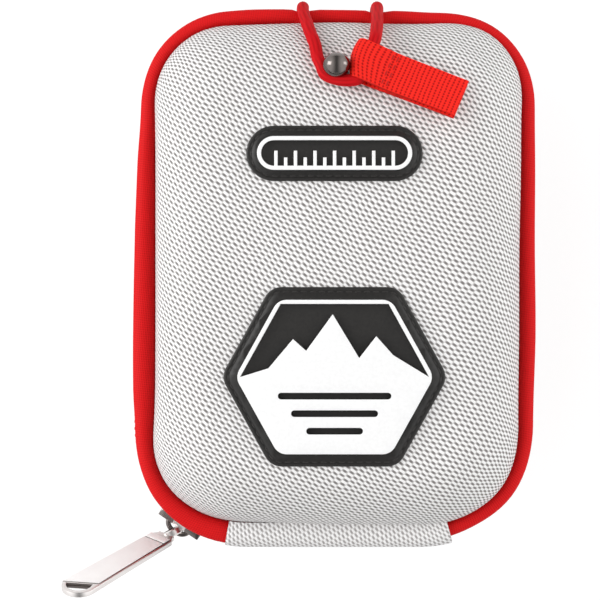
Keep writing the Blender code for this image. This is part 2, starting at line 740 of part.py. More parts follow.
def badge_patch(carrier):
    """A rubber hexagon with a raised white border, a ridge of mountains and lines of water."""
    wide, flat, tall = BADGE_WIDTH / 2, BADGE_FLAT / 2, BADGE_HEIGHT / 2
    shape = [(wide, 0), (flat, tall), (-flat, tall), (-wide, 0), (-flat, -tall), (flat, -tall)]
    base = [(x, y + BADGE_Y) for x, y in rounded(shape, BADGE_CORNER)]
    on_lid("badge_patch", [base], RUBBER, GAP, BLACK_RUBBER, carrier)
    line = inset_polygon(shape, BADGE_LINE_INSET)
    window = inset_polygon(shape, BADGE_LINE_INSET + LINE)
    reach, roof = window[0].x, window[1].y
    left_peak, right_peak = [(-0.70, 0.12), (-0.44, 0.52)], [(0.26, 0.26), (0.44, 0.56), (0.62, 0.30)]
    ridge = left_peak + [(-0.30, 0.36), (-0.02, 0.86)] + right_peak
    sky = [tuple(point) for point in window[:4]] + [(reach * x, roof * y) for x, y in ridge]
    water = [(-0.26, 0.60), (-0.50, 0.46), (-0.74, 0.30)]
    bars = [stadium(2 * reach * length, 1.6 * LINE, roof * height, 4) for height, length in water]
    contours = [rounded(line, BADGE_CORNER - LINE), sky, *bars]
    placed = [[(x, y + BADGE_Y) for x, y in contour] for contour in contours]
    on_lid("badge_line", placed, INLAY, RUBBER + 2 * GAP, WHITE_RUBBER, carrier)


def pull_tab(carrier):
    """Webbing folded over the cord and sewn to itself."""
    place, along, out, _ = tab_axes()
    bore = CORD_RADIUS + TAB_PLAY
    fold = bore + WEBBING
    neck = math.asin(WEBBING / fold)
    bend = arc((0.0, 0.0), fold, neck, 2 * math.pi - neck, 12)
    webbing = bend + [(TAB_REACH, -WEBBING), (TAB_REACH, WEBBING)]
    cord_room = arc((0.0, 0.0), bore, 0.0, 2 * math.pi, 12)[:-1]
    piece = add("pull_tab", flat_curve("pull_tab", [webbing, cord_room], TAB_WIDTH), WEB)
    turn = Matrix((along, out, along.cross(out))).transposed().to_4x4()
    piece.matrix_world = Matrix.Translation(place) @ turn
    carry(piece, carrier)


def slider_frame():
    """At the foot's left corner centre, with X out through the slider and Z out of the front."""
    x, y = corner_centre(-1, False)
    return Matrix.Translation((x, y, ZIP_PLANE)) @ Matrix.Rotation(SLIDER_ANGLE, 4, "Z")


def slider_heights():
    """Reaches of the inner plate's faces, the outer plate's faces and the lips' ends."""
    under = TAPE_TOP - TAPE - BEND_ROOM - GAP
    over = TOOTH_TOP + GAP
    return under - SLIDER_PLATE, under, over, over + SLIDER_PLATE, over - SLIDER_LIP


def zip_slider(carrier):
    """Two plates on a post, with lips beside the rows of teeth."""
    inner, under, over, top, lip = slider_heights()
    post, plate = SLIDER_POST / 2, INNER_PLATE_WIDTH / 2
    inside = ZIP_SLIT + TOOTH_WIDTH + GAP
    outside = inside + SLIDER_FLANGE
    half = [
        (inner, plate),
        (under, plate),
        (under, post),
        (over, post),
        (over, inside),
        (lip, inside),
        (lip, outside),
        (top, outside),
    ]
    section = half + [(reach, -across) for reach, across in half[::-1]]
    bm = flat_curve("zip_slider", [[(FOOT_CORNER + r, across) for r, across in section]], SLIDER_LENGTH)
    bmesh.ops.transform(bm, matrix=Matrix.Rotation(math.pi / 2, 4, "X"), verts=bm.verts)
    piece = add("zip_slider", bm, NICKEL, smooth=False)
    piece.matrix_world = slider_frame()
    carry(piece, carrier)


def slider_bridge(carrier):
    """A wire arch on the outer plate, which the pull hangs from."""
    foot = FOOT_CORNER + slider_heights()[3] + GAP
    bar = foot - GAP + BRIDGE_RISE
    bend = BRIDGE_RISE / 2
    left = arc((bar - bend, -BRIDGE_HALF + bend), bend, 1.5 * math.pi, 2 * math.pi, 5)
    right = arc((bar - bend, BRIDGE_HALF - bend), bend, 0.0, 0.5 * math.pi, 5)
    flat = [(foot, -BRIDGE_HALF)] + left + right + [(foot, BRIDGE_HALF)]
    frame = slider_frame()
    points = [frame @ Vector((x, y, 0.0)) for x, y in flat]
    tube("slider_bridge", points, BRIDGE_RADIUS, NICKEL, carrier, frame.translation)


def pull_frame():
    """On the bridge's bar, with X along the pull and Y along its swing axis."""
    bar = slider_frame() @ Vector((FOOT_CORNER + slider_heights()[3] + BRIDGE_RISE, 0.0, 0.0))
    yaw = Matrix.Rotation(SLIDER_ANGLE + PULL_TURN, 4, "Z")
    return Matrix.Translation(bar) @ yaw @ Matrix.Rotation(-PULL_LIFT, 4, "Y")


def zip_pull(carrier):
    """An eye round the bridge and a flat blade with a hole near its tip."""
    eye_x = EYE_RADIUS - 2 * EYE_WIRE - BRIDGE_RADIUS + EYE_WIRE / 2 + GAP / 2
    bpy.ops.mesh.primitive_torus_add(
        major_radius=EYE_RADIUS, minor_radius=EYE_WIRE, major_segments=20, minor_segments=8,
        location=(eye_x, 0.0, 0.0), rotation=(math.pi / 2, 0.0, 0.0),
    )
    eye = bpy.context.object
    eye.name = "pull_eye"
    root = eye_x + EYE_RADIUS - EYE_WIRE / 2
    neck = root + PULL_SHOULDER / 3
    tip = PULL_TIP / 2
    half = [(root, PULL_ROOT / 2), (neck, PULL_ROOT / 2), (root + PULL_SHOULDER, PULL_WIDTH / 2)]
    cap = arc((PULL_LENGTH - tip, 0.0), tip, -0.5 * math.pi, 0.5 * math.pi, 10)
    outer = [(x, -y) for x, y in half] + cap + half[::-1]
    hole_x = PULL_LENGTH - PULL_HOLE_EDGE - PULL_HOLE_LENGTH / 2
    round_end = PULL_HOLE_LENGTH / 2
    offset = (PULL_HOLE_WIDTH - PULL_HOLE_LENGTH) / 2
    upper = arc((hole_x, offset), round_end, 0.0, math.pi, 6)
    hole = upper + arc((hole_x, -offset), round_end, math.pi, 2 * math.pi, 6)
    bm = flat_curve("zip_pull", [outer, hole], PULL_PLATE)
    bmesh.ops.transform(bm, matrix=Matrix.Rotation(PULL_ROLL, 4, "X"), verts=bm.verts)
    piece = add("zip_pull", bm, NICKEL)
    frame = pull_frame()
    eye.matrix_world = frame @ eye.matrix_world
    as_cutter(eye)
    piece.matrix_world = frame
    cut(piece, eye, "UNION")
    carry(piece, carrier)


hinge_place = Vector((0.0, -(SHELL_LENGTH / 2 + RIM_REACH + GAP + STRIP / 2), ZIP_PLANE))
loop_place = bead_place(0.0, BACK, 0.0)
lid_axis = axis("lid_axis", hinge_place)
loop_axis = axis("loop_axis", loop_place)
tab_axis = axis("tab_axis", tab_axes()[0])
slider_axis = axis("slider_axis", slider_frame().translation)
pull_axis = axis("pull_axis", pull_frame().translation)

back_layers = layers("back", BACK, None)
lid_layers = layers("lid", LID, lid_axis)
piping("back", BACK, None)
piping("lid", LID, lid_axis)
zip_side("back", BACK, 1.5 * math.pi - ZIP_END, None)
zip_side("lid", LID, SLIDER_ANGLE - 1.2 * SLIDER_LENGTH / 2 / FOOT_CORNER, lid_axis)
hinge_strip()
ball_stud(lid_layers, lid_axis)
for side_name, strand in (("left", LEFT_STRAND), ("right", RIGHT_STRAND)):
    cord_anchor(side_name, strand, back_layers)
tube("elastic_loop", smooth_line(cord_route(), CORD_STEP), CORD_RADIUS, ELASTIC, loop_axis, loop_place)
pull_tab(tab_axis)
pill_patch(lid_axis)
badge_patch(lid_axis)
zip_slider(slider_axis)
slider_bridge(slider_axis)
zip_pull(pull_axis)
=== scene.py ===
# %% [markdown]
# # A zippered hard case, dressed from its solids
#
# The case lies on its back. +X is its right, +Y its top end with the elastic loop, and +Z its front. The
# solids give every piece its size and place. This lesson gives the pieces that show their cloth,
# stitches, teeth and metal.

import math

import bmesh
import bpy
from mathutils import Matrix, Vector


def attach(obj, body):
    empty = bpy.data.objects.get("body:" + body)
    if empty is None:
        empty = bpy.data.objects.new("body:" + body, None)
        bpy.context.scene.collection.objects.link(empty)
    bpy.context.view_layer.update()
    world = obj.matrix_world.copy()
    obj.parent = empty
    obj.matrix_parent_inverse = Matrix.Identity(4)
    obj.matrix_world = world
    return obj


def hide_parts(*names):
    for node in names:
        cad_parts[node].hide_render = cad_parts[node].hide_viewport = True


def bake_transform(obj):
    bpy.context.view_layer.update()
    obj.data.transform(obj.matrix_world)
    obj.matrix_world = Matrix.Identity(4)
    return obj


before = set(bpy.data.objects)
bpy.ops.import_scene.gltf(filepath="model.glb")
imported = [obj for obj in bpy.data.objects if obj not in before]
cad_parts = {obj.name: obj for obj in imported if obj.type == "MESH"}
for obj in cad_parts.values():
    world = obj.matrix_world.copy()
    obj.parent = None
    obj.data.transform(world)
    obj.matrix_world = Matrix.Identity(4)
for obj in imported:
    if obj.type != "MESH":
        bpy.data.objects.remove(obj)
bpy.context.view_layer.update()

# %% [markdown]
# The sizes below repeat those that the solids were built from, in metres. Every piece is worked out from
# them, so that a fine piece sits where its plain solid is. The zip plane is half way up the case. Heights
# count away from it, and reaches count outwards from the shell's outline.

# %% Sizes of the shell and the rim
MM = 0.001
GAP = 0.3 * MM
SHELL_WIDTH, SHELL_LENGTH, CASE_DEPTH = 101.4 * MM, 136.4 * MM, 56.0 * MM
TOP_CORNER, FOOT_CORNER = 21.7 * MM, 26.9 * MM
ZIP_PLANE = CASE_DEPTH / 2
LID, BACK = 1, -1
BODY = {LID: "lid", BACK: "back"}


def level(half, height):
    return ZIP_PLANE + half * height


def corner_centre(right, top):
    radius = TOP_CORNER if top else FOOT_CORNER
    return Vector((right * (SHELL_WIDTH / 2 - radius), (SHELL_LENGTH / 2 - radius) * (1 if top else -1)))


print("shell", SHELL_WIDTH / MM, "x", SHELL_LENGTH / MM, "x", CASE_DEPTH / MM, "mm")

# %% [markdown]
# ## Camera
# The case was photographed from straight in front, so the camera looks straight down at it. The cord's
# near end and the rim differ in scale by about 3%, which puts a lens three quarters of a metre away. The
# frame is square, and its middle lies a little left of the case's middle and below it, to take in the zip
# pull.

# %% Camera
SENSOR, LENS = 36.0, 155.1  # in Blender's millimetres
CAMERA_PLACE = (-9.2 * MM, -6.6 * MM, 745 * MM)
scene = bpy.context.scene
camera_data = bpy.data.cameras.new("camera")
camera_data.sensor_width, camera_data.lens = SENSOR, LENS
camera_data.clip_start = 10 * MM
camera = bpy.data.objects.new("camera", camera_data)
camera.location = CAMERA_PLACE
scene.collection.objects.link(camera)
scene.camera = camera
print("lens", camera_data.lens, "mm at", camera.location.z, "m")

# %% [markdown]
# ## Light
# A soft studio. The ball stud is its mirror: it has a dark strip down its middle and a white patch at
# each side. So the studio is dim in a strip overhead and bright towards both sides, where a softbox
# stands. The left one is stronger, because the piping is brighter there. The paper under the case glows
# only where the camera or a mirror sees it, so it is white without lighting the case, and it keeps the
# case's shadow.

# %% World, lamps and floor
STUDIO_SHADES = (0.1, "#747474"), (0.62, "#ffffff")  # by how far a direction points sideways
STUDIO_LEVEL, PAPER_GLOW, PAPER_GREY = 1.36, 0.76, "#a0a0a0"
PAPER_HALF, PAPER_DROP = 4.0, 0.2 * MM
scene.view_settings.view_transform = "Standard"


def add_node(tree, kind, sockets=None, **settings):
    """Adds a shader node with its settings. A socket gets a plain value, or a link from another socket."""
    node = tree.nodes.new("ShaderNode" + kind)
    for name, value in settings.items():
        setattr(node, name, value)
    for socket, value in (sockets or {}).items():
        if isinstance(value, bpy.types.NodeSocket):
            tree.links.new(value, node.inputs[socket])
        else:
            node.inputs[socket].default_value = value
    return node


def colour(text):
    """A linear colour from sRGB hex."""
    parts = [int(text[i : i + 2], 16) / 255 for i in (1, 3, 5)]
    return (*[c / 12.92 if c <= 0.04045 else ((c + 0.055) / 1.055) ** 2.4 for c in parts], 1.0)


def grade(node, *stops):
    """Sets a colour ramp's stops, each a place and an sRGB colour."""
    elements = node.color_ramp.elements
    while len(elements) < len(stops):
        elements.new(1.0)
    for element, (place, text) in zip(elements, stops):
        element.position = place
        element.color = colour(text)
    return node


world = bpy.data.worlds.new("studio")
world.use_nodes = True
tree = world.node_tree
tree.nodes.clear()
direction = add_node(tree, "TexCoord")
ways = add_node(tree, "SeparateXYZ", {0: direction.outputs["Generated"]})
sideways = add_node(tree, "Math", {0: ways.outputs["X"]}, operation="ABSOLUTE")
walls = add_node(tree, "ValToRGB", {0: sideways.outputs[0]})
grade(walls, *STUDIO_SHADES)
back_light = add_node(tree, "Background", {"Color": walls.outputs[0], "Strength": STUDIO_LEVEL})
add_node(tree, "OutputWorld", {"Surface": back_light.outputs[0]})
scene.world = world


def softbox(name, place, size, power):
    """An area lamp aimed at the case, its size in metres and its power in watts."""
    data = bpy.data.lights.new(name, "AREA")
    data.shape = "RECTANGLE"
    data.size, data.size_y = size
    data.energy = power
    made = bpy.data.objects.new(name, data)
    made.location = place
    aim = Vector((0, 0, ZIP_PLANE)) - Vector(place)
    made.rotation_euler = aim.to_track_quat("-Z", "Y").to_euler()
    scene.collection.objects.link(made)


softbox("left_softbox", (-0.81, 0.20, 0.46), (0.45, 0.55), 3.6)
softbox("right_softbox", (0.90, 0.20, 0.30), (0.35, 0.45), 1.5)

floor_mesh = bpy.data.meshes.new("floor")
bm = bmesh.new()
bmesh.ops.create_grid(bm, x_segments=1, y_segments=1, size=PAPER_HALF)
bm.to_mesh(floor_mesh)
bm.free()
floor = bpy.data.objects.new("floor", floor_mesh)
floor.location.z = -PAPER_DROP
scene.collection.objects.link(floor)
paper = bpy.data.materials.new("white_studio_paper")
paper.use_nodes = True
tree = paper.node_tree
tree.nodes.clear()
path = add_node(tree, "LightPath").outputs
mirrored = add_node(
    tree, "Math", {0: path["Is Glossy Ray"], 1: path["Is Transmission Ray"]}, operation="MAXIMUM"
)
seen = add_node(tree, "Math", {0: path["Is Camera Ray"], 1: mirrored.outputs[0]}, operation="MAXIMUM")
lift = add_node(tree, "Math", {0: seen.outputs[0], 1: PAPER_GLOW}, operation="MULTIPLY")
sheet = add_node(tree, "BsdfDiffuse", {"Color": colour(PAPER_GREY)})
glow = add_node(tree, "Emission", {"Strength": lift.outputs[0]})
both = add_node(tree, "AddShader", {0: sheet.outputs[0], 1: glow.outputs[0]})
add_node(tree, "OutputMaterial", {"Surface": both.outputs[0]})
floor_mesh.materials.append(paper)

# %% [markdown]
# ## Woven cloth
# The shells are covered with a thick nylon in plain weave. Its warp is narrow and stands up in pale
# floats, and its weft is broad and lies lower, where painted shade makes short dark dashes between them.
# A moulded shell has tens of thousands of crossings, so they are not modelled one by one. A chequer says
# which yarn is on top, and two waves round each float over. The colour follows the height: painted shade
# in the gaps, and a painted sheen on the floats' tops. The pattern reads the piece's own map in
# millimetres, which is laid out as the flat cloth was. The same yarns in other sizes and colours make the
# binding, the zip tape and the lining. In the webbing the yarns stand in ribs, with dots of painted shade
# in the gaps between them.

# %% The weave
FLOAT_ROUND = {"X": 0.5, "Y": 0.35}  # powers under 1 make broad floats and narrow gaps
# Colour stops by height: the gap's painted shade, the yarn's own colour, the top's painted sheen.
WEAVE_STOPS, RIB_STOPS = (0.12, 0.44, 0.64), (0.3, 0.6, 0.85)
# The ribs' dark dots are painted shade in the gaps between them.
RIB_DOTS, RIB_GAP = 0.9, 0.36  # how dark the dots are, and the gap between two ribs
DRIFT_SCALE, CLOTH_ROUGHNESS, CLOTH_BUMP = 0.12, 0.6, 0.9


def new_material(name):
    """A material with its nodes' tree and its shader."""
    made = bpy.data.materials.new(name)
    made.use_nodes = True
    return made, made.node_tree, made.node_tree.nodes["Principled BSDF"]


def yarn_cloth(name, shades, cell, slant=0.0, relief=0.1, wander=0.0, sheen=0.4, ribbed=False):
    """The colour follows the yarns' height: painted shade darkens the gaps between floats, and a painted
    sheen lightens the floats' tops. Shades go from the gap to the float's top. One crossing's cell, the
    relief and the yarns' wander are in mm."""
    made, tree, shader = new_material(name)
    flat = add_node(tree, "UVMap", uv_map="cloth_mm")
    drift = add_node(
        tree, "TexNoise", {"Vector": flat.outputs[0], "Scale": DRIFT_SCALE, "Detail": 2.0},
        noise_dimensions="2D",
    )
    pulled = add_node(
        tree, "VectorMath", {0: drift.outputs["Color"], 1: (wander,) * 3, 2: flat.outputs[0]},
        operation="MULTIPLY_ADD",
    )
    cells = add_node(
        tree, "Mapping", {"Vector": pulled.outputs[0], "Rotation": (0, 0, -slant), "Scale": (*cell, 1)},
        vector_type="TEXTURE",
    )
    humps = []
    for way, power in FLOAT_ROUND.items():
        wave = add_node(
            tree, "TexWave", {"Vector": cells.outputs[0], "Scale": math.pi / 10}, bands_direction=way
        )
        humps.append(add_node(tree, "Math", {0: wave.outputs["Fac"], 1: power}, operation="POWER").outputs[0])
    if ribbed:
        dips = [add_node(tree, "Math", {0: 1.0, 1: hump}, operation="SUBTRACT").outputs[0] for hump in humps]
        dots = add_node(tree, "Math", {0: dips[1], 1: RIB_DOTS, 2: RIB_GAP}, operation="MULTIPLY_ADD")
        gaps = add_node(tree, "Math", {0: dips[0], 1: dots.outputs[0]}, operation="MULTIPLY")
        height = add_node(tree, "Math", {0: 1.0, 1: gaps.outputs[0]}, operation="SUBTRACT").outputs[0]
    else:
        chequer = add_node(tree, "TexChecker", {"Vector": cells.outputs[0], "Scale": 1.0})
        over = add_node(tree, "MapRange", {"Value": chequer.outputs["Fac"], "To Min": 0.5, "To Max": -0.5})
        rise = add_node(tree, "Math", {0: humps[0], 1: humps[1]}, operation="MULTIPLY")
        height = add_node(
            tree, "Math", {0: rise.outputs[0], 1: over.outputs[0], 2: 0.5}, operation="MULTIPLY_ADD"
        ).outputs[0]
    # Painted shade and sheen: the ramp darkens the low gaps and lightens the floats' tops.
    shade = add_node(tree, "ValToRGB", {0: height})
    grade(shade, *zip(RIB_STOPS if ribbed else WEAVE_STOPS, shades))
    bump = add_node(tree, "Bump", {"Height": height, "Strength": CLOTH_BUMP, "Distance": 2 * relief * MM})
    tree.links.new(shade.outputs[0], shader.inputs["Base Color"])
    tree.links.new(bump.outputs[0], shader.inputs["Normal"])
    shader.inputs["Roughness"].default_value = CLOTH_ROUGHNESS
    shader.inputs["Specular IOR Level"].default_value = sheen
    return made


SLANT = math.radians(39.4)
# Darkest: painted shade in the gaps; palest: painted sheen on the floats.
GREYS = ("#7a7674", "#cdcac9", "#fdfcfc")
BALLISTIC = yarn_cloth("grey_ballistic_nylon", GREYS, (1.732, 0.674), SLANT, relief=0.11, wander=0.8)
print(BALLISTIC.name)

# %% [markdown]
# ## The moulded halves
# Each half is a sandwich of cloth, foam and lining, pressed over a mould: a wall with a little draft, a
# round shoulder and a face, which is slightly crowned on the lid. A subdivided box would need many loops
# to hold the corners. Insetting the outline again and again keeps every corner an exact offset, so each
# step of the profile is one inset. The face is then cut into a grid and raised. The map comes from the
# same profile, unrolled.

# %% Outline
CORNER_STEPS = 24


def arc(centre, radius, start, end, steps):
    angles = [start + (end - start) * i / steps for i in range(steps + 1)]
    return [Vector((centre[0] + radius * math.cos(a), centre[1] + radius * math.sin(a))) for a in angles]


def side(start, end, step=2.5 * MM):
    count = max(2, round((end - start).length / step))
    return [start.lerp(end, i / count) for i in range(1, count)]


def around_case(reach, start=1.5 * math.pi, end=1.5 * math.pi):
    """The outline moved outwards, from the foot's left corner over the top to the foot's right corner."""
    foot, top = FOOT_CORNER + reach, TOP_CORNER + reach
    turns = (
        arc(corner_centre(-1, False), foot, start, math.pi, CORNER_STEPS),
        arc(corner_centre(-1, True), top, math.pi, 0.5 * math.pi, CORNER_STEPS),
        arc(corner_centre(1, True), top, 0.5 * math.pi, 0.0, CORNER_STEPS),
        arc(corner_centre(1, False), foot, 2 * math.pi, end, CORNER_STEPS),
    )
    line = list(turns[0])
    for turn in turns[1:]:
        line += side(line[-1], turn[0]) + turn
    return line


def outline(reach):
    line = around_case(reach)
    return line + side(line[-1], line[0])


def outward(x, y):
    """The outline's outward direction beside a point."""
    centre = corner_centre(math.copysign(1, x), y > 0)
    away = Vector((x, y)) - centre
    if away.x * centre.x > 0 and away.y * centre.y > 0:
        return away.normalized()
    across = (SHELL_WIDTH / 2 - abs(x)) < (SHELL_LENGTH / 2 - abs(y))
    return Vector((math.copysign(1, x), 0)) if across else Vector((0, math.copysign(1, y)))


print("outline of", len(outline(0.0)), "points")

# %% [markdown]
# A sewn rim is never an even curve. The binding is pulled tighter in some places than in others, and the
# cloth's edge over it gives way with it. A row of places round the rim, set against the picture's edges,
# says how far each stands out, and a smooth curve through them moves the piping, the walls and the zip
# alike.

# %% The uneven rim
RIM_WANDER = [
    (-165, -0.3, -1.9), (-148, -0.3, -1.8), (-140, -0.8, -1.4), (-134, -0.2, -0.4), (-128, 0.7, 0.1),
    (-121, 1.1, -0.2), (-112, 1.0, -0.8), (-100, 0.4, -0.4), (-88, 0.0, 0.0), (-70, 0.0, 0.0),
    (-61, -0.4, 0.4), (-52, 0.1, 0.8), (-41, -0.5, -0.1), (-18, 0.2, 0.1), (10, 0.0, 0.2),
    (30, 0.1, 0.6), (43, 0.0, 0.8),
    (50, 0.3, 1.9), (57, 0.3, 2.3), (66, -0.5, 1.0), (75, 0.0, 0.8), (90, 0.3, 1.2), (108, 0.4, 0.6),
    (119, -0.8, 0.0), (127, -1.7, -0.8), (136, -2.5, -1.7), (148, -1.5, -1.9), (165, -0.8, -1.9),
]  # degrees round the case from its right, then how far the piping and the wall over it stand out, in mm


def rim_wander(place):
    """How far the piping and the wall over it stand out beside a point."""
    angle = math.degrees(math.atan2(place.y, place.x))
    after = next((i for i, row in enumerate(RIM_WANDER) if row[0] > angle), 0)
    start, end = RIM_WANDER[after - 1][0], RIM_WANDER[after][0]
    t = ((angle - start) % 360) / ((end - start) % 360)
    a, b, c, d = (Vector(RIM_WANDER[(after + i) % len(RIM_WANDER)][1:]) for i in (-2, -1, 0, 1))
    bow, twist = 2 * a - 5 * b + 4 * c - d, 3 * b - 3 * c + d - a
    return MM / 2 * (2 * b + (c - a) * t + bow * t**2 + twist * t**3)


print("rim set at", len(RIM_WANDER), "places")

# %% Profile
DRAFT = math.radians(12)
SHOULDER = 18.0 * MM
EDGE = 4.8 * MM
CROWN = {LID: 1.2 * MM, BACK: 0.0}
WALL_SHARES = (0.0, 0.46, 0.55, 0.72)  # heights of the wall's own rows, for its flare


def shoulder(half):
    """Inset and height of the shoulder's centre, and the angle where the face begins."""
    slope = 4 * CROWN[half] / SHELL_WIDTH
    height = CASE_DEPTH / 2 - CROWN[half] - SHOULDER * math.cos(slope)
    wall = height + SHOULDER * math.sin(DRAFT) - EDGE
    return SHOULDER * math.cos(DRAFT) + wall * math.tan(DRAFT), height, math.pi / 2 - slope


def profile(half, depth, steps=14):
    """Inset and height of each step from the shell's edge to its face, at a depth under the cloth."""
    inset, height, last = shoulder(half)
    radius = SHOULDER - depth
    angles = [DRAFT + (last - DRAFT) * i / steps for i in range(steps + 1)]
    turn = [(inset - radius * math.cos(a), height + radius * math.sin(a)) for a in angles]
    start = Vector((depth / math.cos(DRAFT), EDGE))
    return [tuple(start.lerp(Vector(turn[0]), share)) for share in WALL_SHARES] + turn


def crown_rise(x, y, half, depth=0.0):
    edge_inset = profile(half, depth, 1)[-1][0]
    across = x / (SHELL_WIDTH / 2 - edge_inset)
    down = y / (SHELL_LENGTH / 2 - edge_inset)
    return CROWN[half] * max(0.0, 1 - across**2) * max(0.0, 1 - down**2)


print("shoulder starts", round(profile(LID, 0.0)[len(WALL_SHARES)][1] / MM, 2), "mm above the zip plane")

# %% Pressing the shells
TINY = 1e-6
LOOSER = 0.0011  # the weave opens a little towards the case's sides
FACE_GRID, GRID_LINES = 5.5 * MM, 12
FLARE, FLARE_END = 9.0 * MM, 20.0 * MM


def finish_piece(name, bm, skin, body, stands_for, smooth=40):
    """Makes a mesh under construction a piece at the origin, in place of its plain solids. It rides on its
    body, if it has just one."""
    mesh = bpy.data.meshes.new(name)
    bm.to_mesh(mesh)
    bm.free()
    mesh.materials.append(skin)
    mesh.shade_smooth()
    mesh.set_sharp_from_angle(angle=math.radians(smooth))
    piece = bpy.data.objects.new(name, mesh)
    scene.collection.objects.link(piece)
    if body:
        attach(piece, body)
    if stands_for:
        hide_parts(*stands_for)
    print(name, len(mesh.polygons), "faces, on", body or "two bodies")
    return piece


def flat_cloth(place, height, half, depth):
    """Where a point of the shell lay on the flat cloth, in millimetres."""
    inset, centre, last = shoulder(half)
    radius = SHOULDER - depth
    here = Vector((place.x, place.y))
    turn_start = centre + radius * math.sin(DRAFT)
    if height < turn_start:
        run = radius * (last - DRAFT) + (turn_start - height) / math.cos(DRAFT)
        step = inset - radius * math.cos(DRAFT) - (turn_start - height) * math.tan(DRAFT)
    else:
        angle = min(last, math.asin(min(1.0, (height - centre) / radius)))
        run = radius * (last - angle)
        step = inset - radius * math.cos(angle)
    if run > 0.1 * TINY:
        here += outward(place.x, place.y) * (run - (inset - radius * math.cos(last) - step))
    drawn = here / MM
    return (drawn.x, drawn.y - LOOSER * drawn.x**2)


def wall_shift(place, height, half, depth):
    """How far sewing draws a point of the shell out: beside the piping in full, and not at all at the face.
    The lid's cloth flares over the piping."""
    piping, wall = rim_wander(place)
    rest = min(1.0, max(0.0, (FLARE_END - height) / (FLARE_END - FLARE)))
    fade = rest**2 * (3 - 2 * rest)
    if half == LID and depth == 0.0 and height > FLARE:
        return (wall + (FLARE - EDGE) * math.tan(DRAFT)) * fade
    return min(piping, wall, 0.0) * fade


def inset_steps(bm, face, steps):
    """Moves a face in and up, through steps of inset and height."""
    for before, after in zip(steps, steps[1:]):
        bmesh.ops.inset_region(
            bm, faces=[face], thickness=after[0] - before[0], depth=after[1] - before[1],
            use_even_offset=True, use_boundary=True,
        )


def moulded_shell(name, half, depth, thick, skin, node):
    """One layer of a half: insets make its profile, a grid and the crown its face."""
    steps = profile(half, depth)
    bm = bmesh.new()
    face = bm.faces.new([bm.verts.new((*p, steps[0][1])) for p in outline(-steps[0][0])])
    face.normal_update()
    if face.normal.z < 0:
        face.normal_flip()
    inset_steps(bm, face, steps)
    top = steps[-1][1] - TINY
    for way in (Vector((1, 0, 0)), Vector((0, 1, 0))):
        for i in range(-GRID_LINES, GRID_LINES + 1):
            cap = [f for f in bm.faces if min(v.co.z for v in f.verts) > top]
            geom = cap + list({e for f in cap for e in f.edges}) + list({v for f in cap for v in f.verts})
            bmesh.ops.bisect_plane(bm, geom=geom, dist=TINY, plane_co=way * i * FACE_GRID, plane_no=way)
    heights = {vert: vert.co.z for vert in bm.verts}
    for vert in bm.verts:
        if vert.co.z > top:
            vert.co.z += crown_rise(vert.co.x, vert.co.y, half, depth)
    uv = bm.loops.layers.uv.new("cloth_mm")
    for f in bm.faces:
        for loop in f.loops:
            loop[uv].uv = flat_cloth(loop.vert.co, heights[loop.vert], half, depth)
    for vert in bm.verts:
        shift = wall_shift(vert.co, heights[vert], half, depth)
        vert.co.xy += outward(vert.co.x, vert.co.y) * shift
    bmesh.ops.solidify(bm, geom=bm.faces[:], thickness=thick)
    for vert in bm.verts:
        vert.co.z = level(half, vert.co.z)
    if half == BACK:
        bmesh.ops.reverse_faces(bm, faces=bm.faces)
    return finish_piece(name, bm, skin, BODY[half], [node], smooth=60)


COVER = 0.8 * MM
for half in (LID, BACK):
    moulded_shell(f"{BODY[half]}_cloth", half, 0.0, COVER, BALLISTIC, f"{BODY[half]}_cover")

# %% [markdown]
# Inside, EVA foam stiffens each half and a black knit lines it. EVA is closed-cell foam, so its cut edge
# shows fine pores. A Voronoi pattern dents those in, with painted shade darkening each towards its
# middle, in the piece's own place, because foam has no direction.

# %% Foam and lining
FOAM_START, FOAM = 1.1 * MM, 3.5 * MM
LINING_START, LINING = 4.9 * MM, 0.6 * MM
PORE_MM, PORE_DEPTH, FOAM_ROUGHNESS = 0.9, 0.2 * MM, 0.9


def eva_foam(name):
    """Closed cells show as tiny dull pits, painted darker towards their middles as shade."""
    made, tree, shader = new_material(name)
    place = add_node(tree, "TexCoord")
    pores = add_node(tree, "TexVoronoi", {"Vector": place.outputs["Object"], "Scale": 1 / (PORE_MM * MM)})
    # Painted shade: the colour darkens towards each pore's middle.
    shade = add_node(tree, "ValToRGB", {0: pores.outputs["Distance"]})
    grade(shade, (0.1, "#161617"), (0.7, "#2b2b2d"))
    bump = add_node(
        tree, "Bump", {"Height": pores.outputs["Distance"], "Strength": 0.4, "Distance": PORE_DEPTH}
    )
    tree.links.new(shade.outputs[0], shader.inputs["Base Color"])
    tree.links.new(bump.outputs[0], shader.inputs["Normal"])
    shader.inputs["Roughness"].default_value = FOAM_ROUGHNESS
    return made


EVA = eva_foam("black_eva_foam")
KNIT_BLACKS = ("#121213", "#222224", "#2c2c2f")
KNIT = yarn_cloth("black_tricot_knit", KNIT_BLACKS, (0.9, 0.55), relief=0.08, wander=0.3, sheen=0.2)
for half in (LID, BACK):
    body = BODY[half]
    moulded_shell(f"{body}_eva", half, FOAM_START, FOAM, EVA, f"{body}_foam")
    moulded_shell(f"{body}_knit", half, LINING_START, LINING, KNIT, f"{body}_lining")

# %% [markdown]
# ## Piping
# A cord in bias-cut red cloth is sewn into the seam of each half. It could be a bevelled curve, but it
# also has a flat tail under the shell's edge. Here one ring of edges has the section's shape, and each
# extrusion carries it on to the next place along the rim. The run along the rim and the girth round the
# section become the map.

# %% Rings of edges
SEAM_DEPTH = 5.5 * MM
TAIL, TAIL_THICK = 3.9 * MM, 0.6 * MM
BEAD, BEAD_HEIGHT, BEAD_REACH = 2.2 * MM, 6.1 * MM, 2.5 * MM


def rim_rings(section, line, half, moved=None):
    """Rings that carry a section, given as (reach, height), along the shell's outline."""
    rings = []
    for place in line:
        away = outward(*place)
        reaches = [moved(place, reach) if moved else reach for reach, _ in section]
        heights = [level(half, height) for _, height in section]
        rings.append([Vector((*(place + away * reach), z)) for reach, z in zip(reaches, heights)])
    return rings


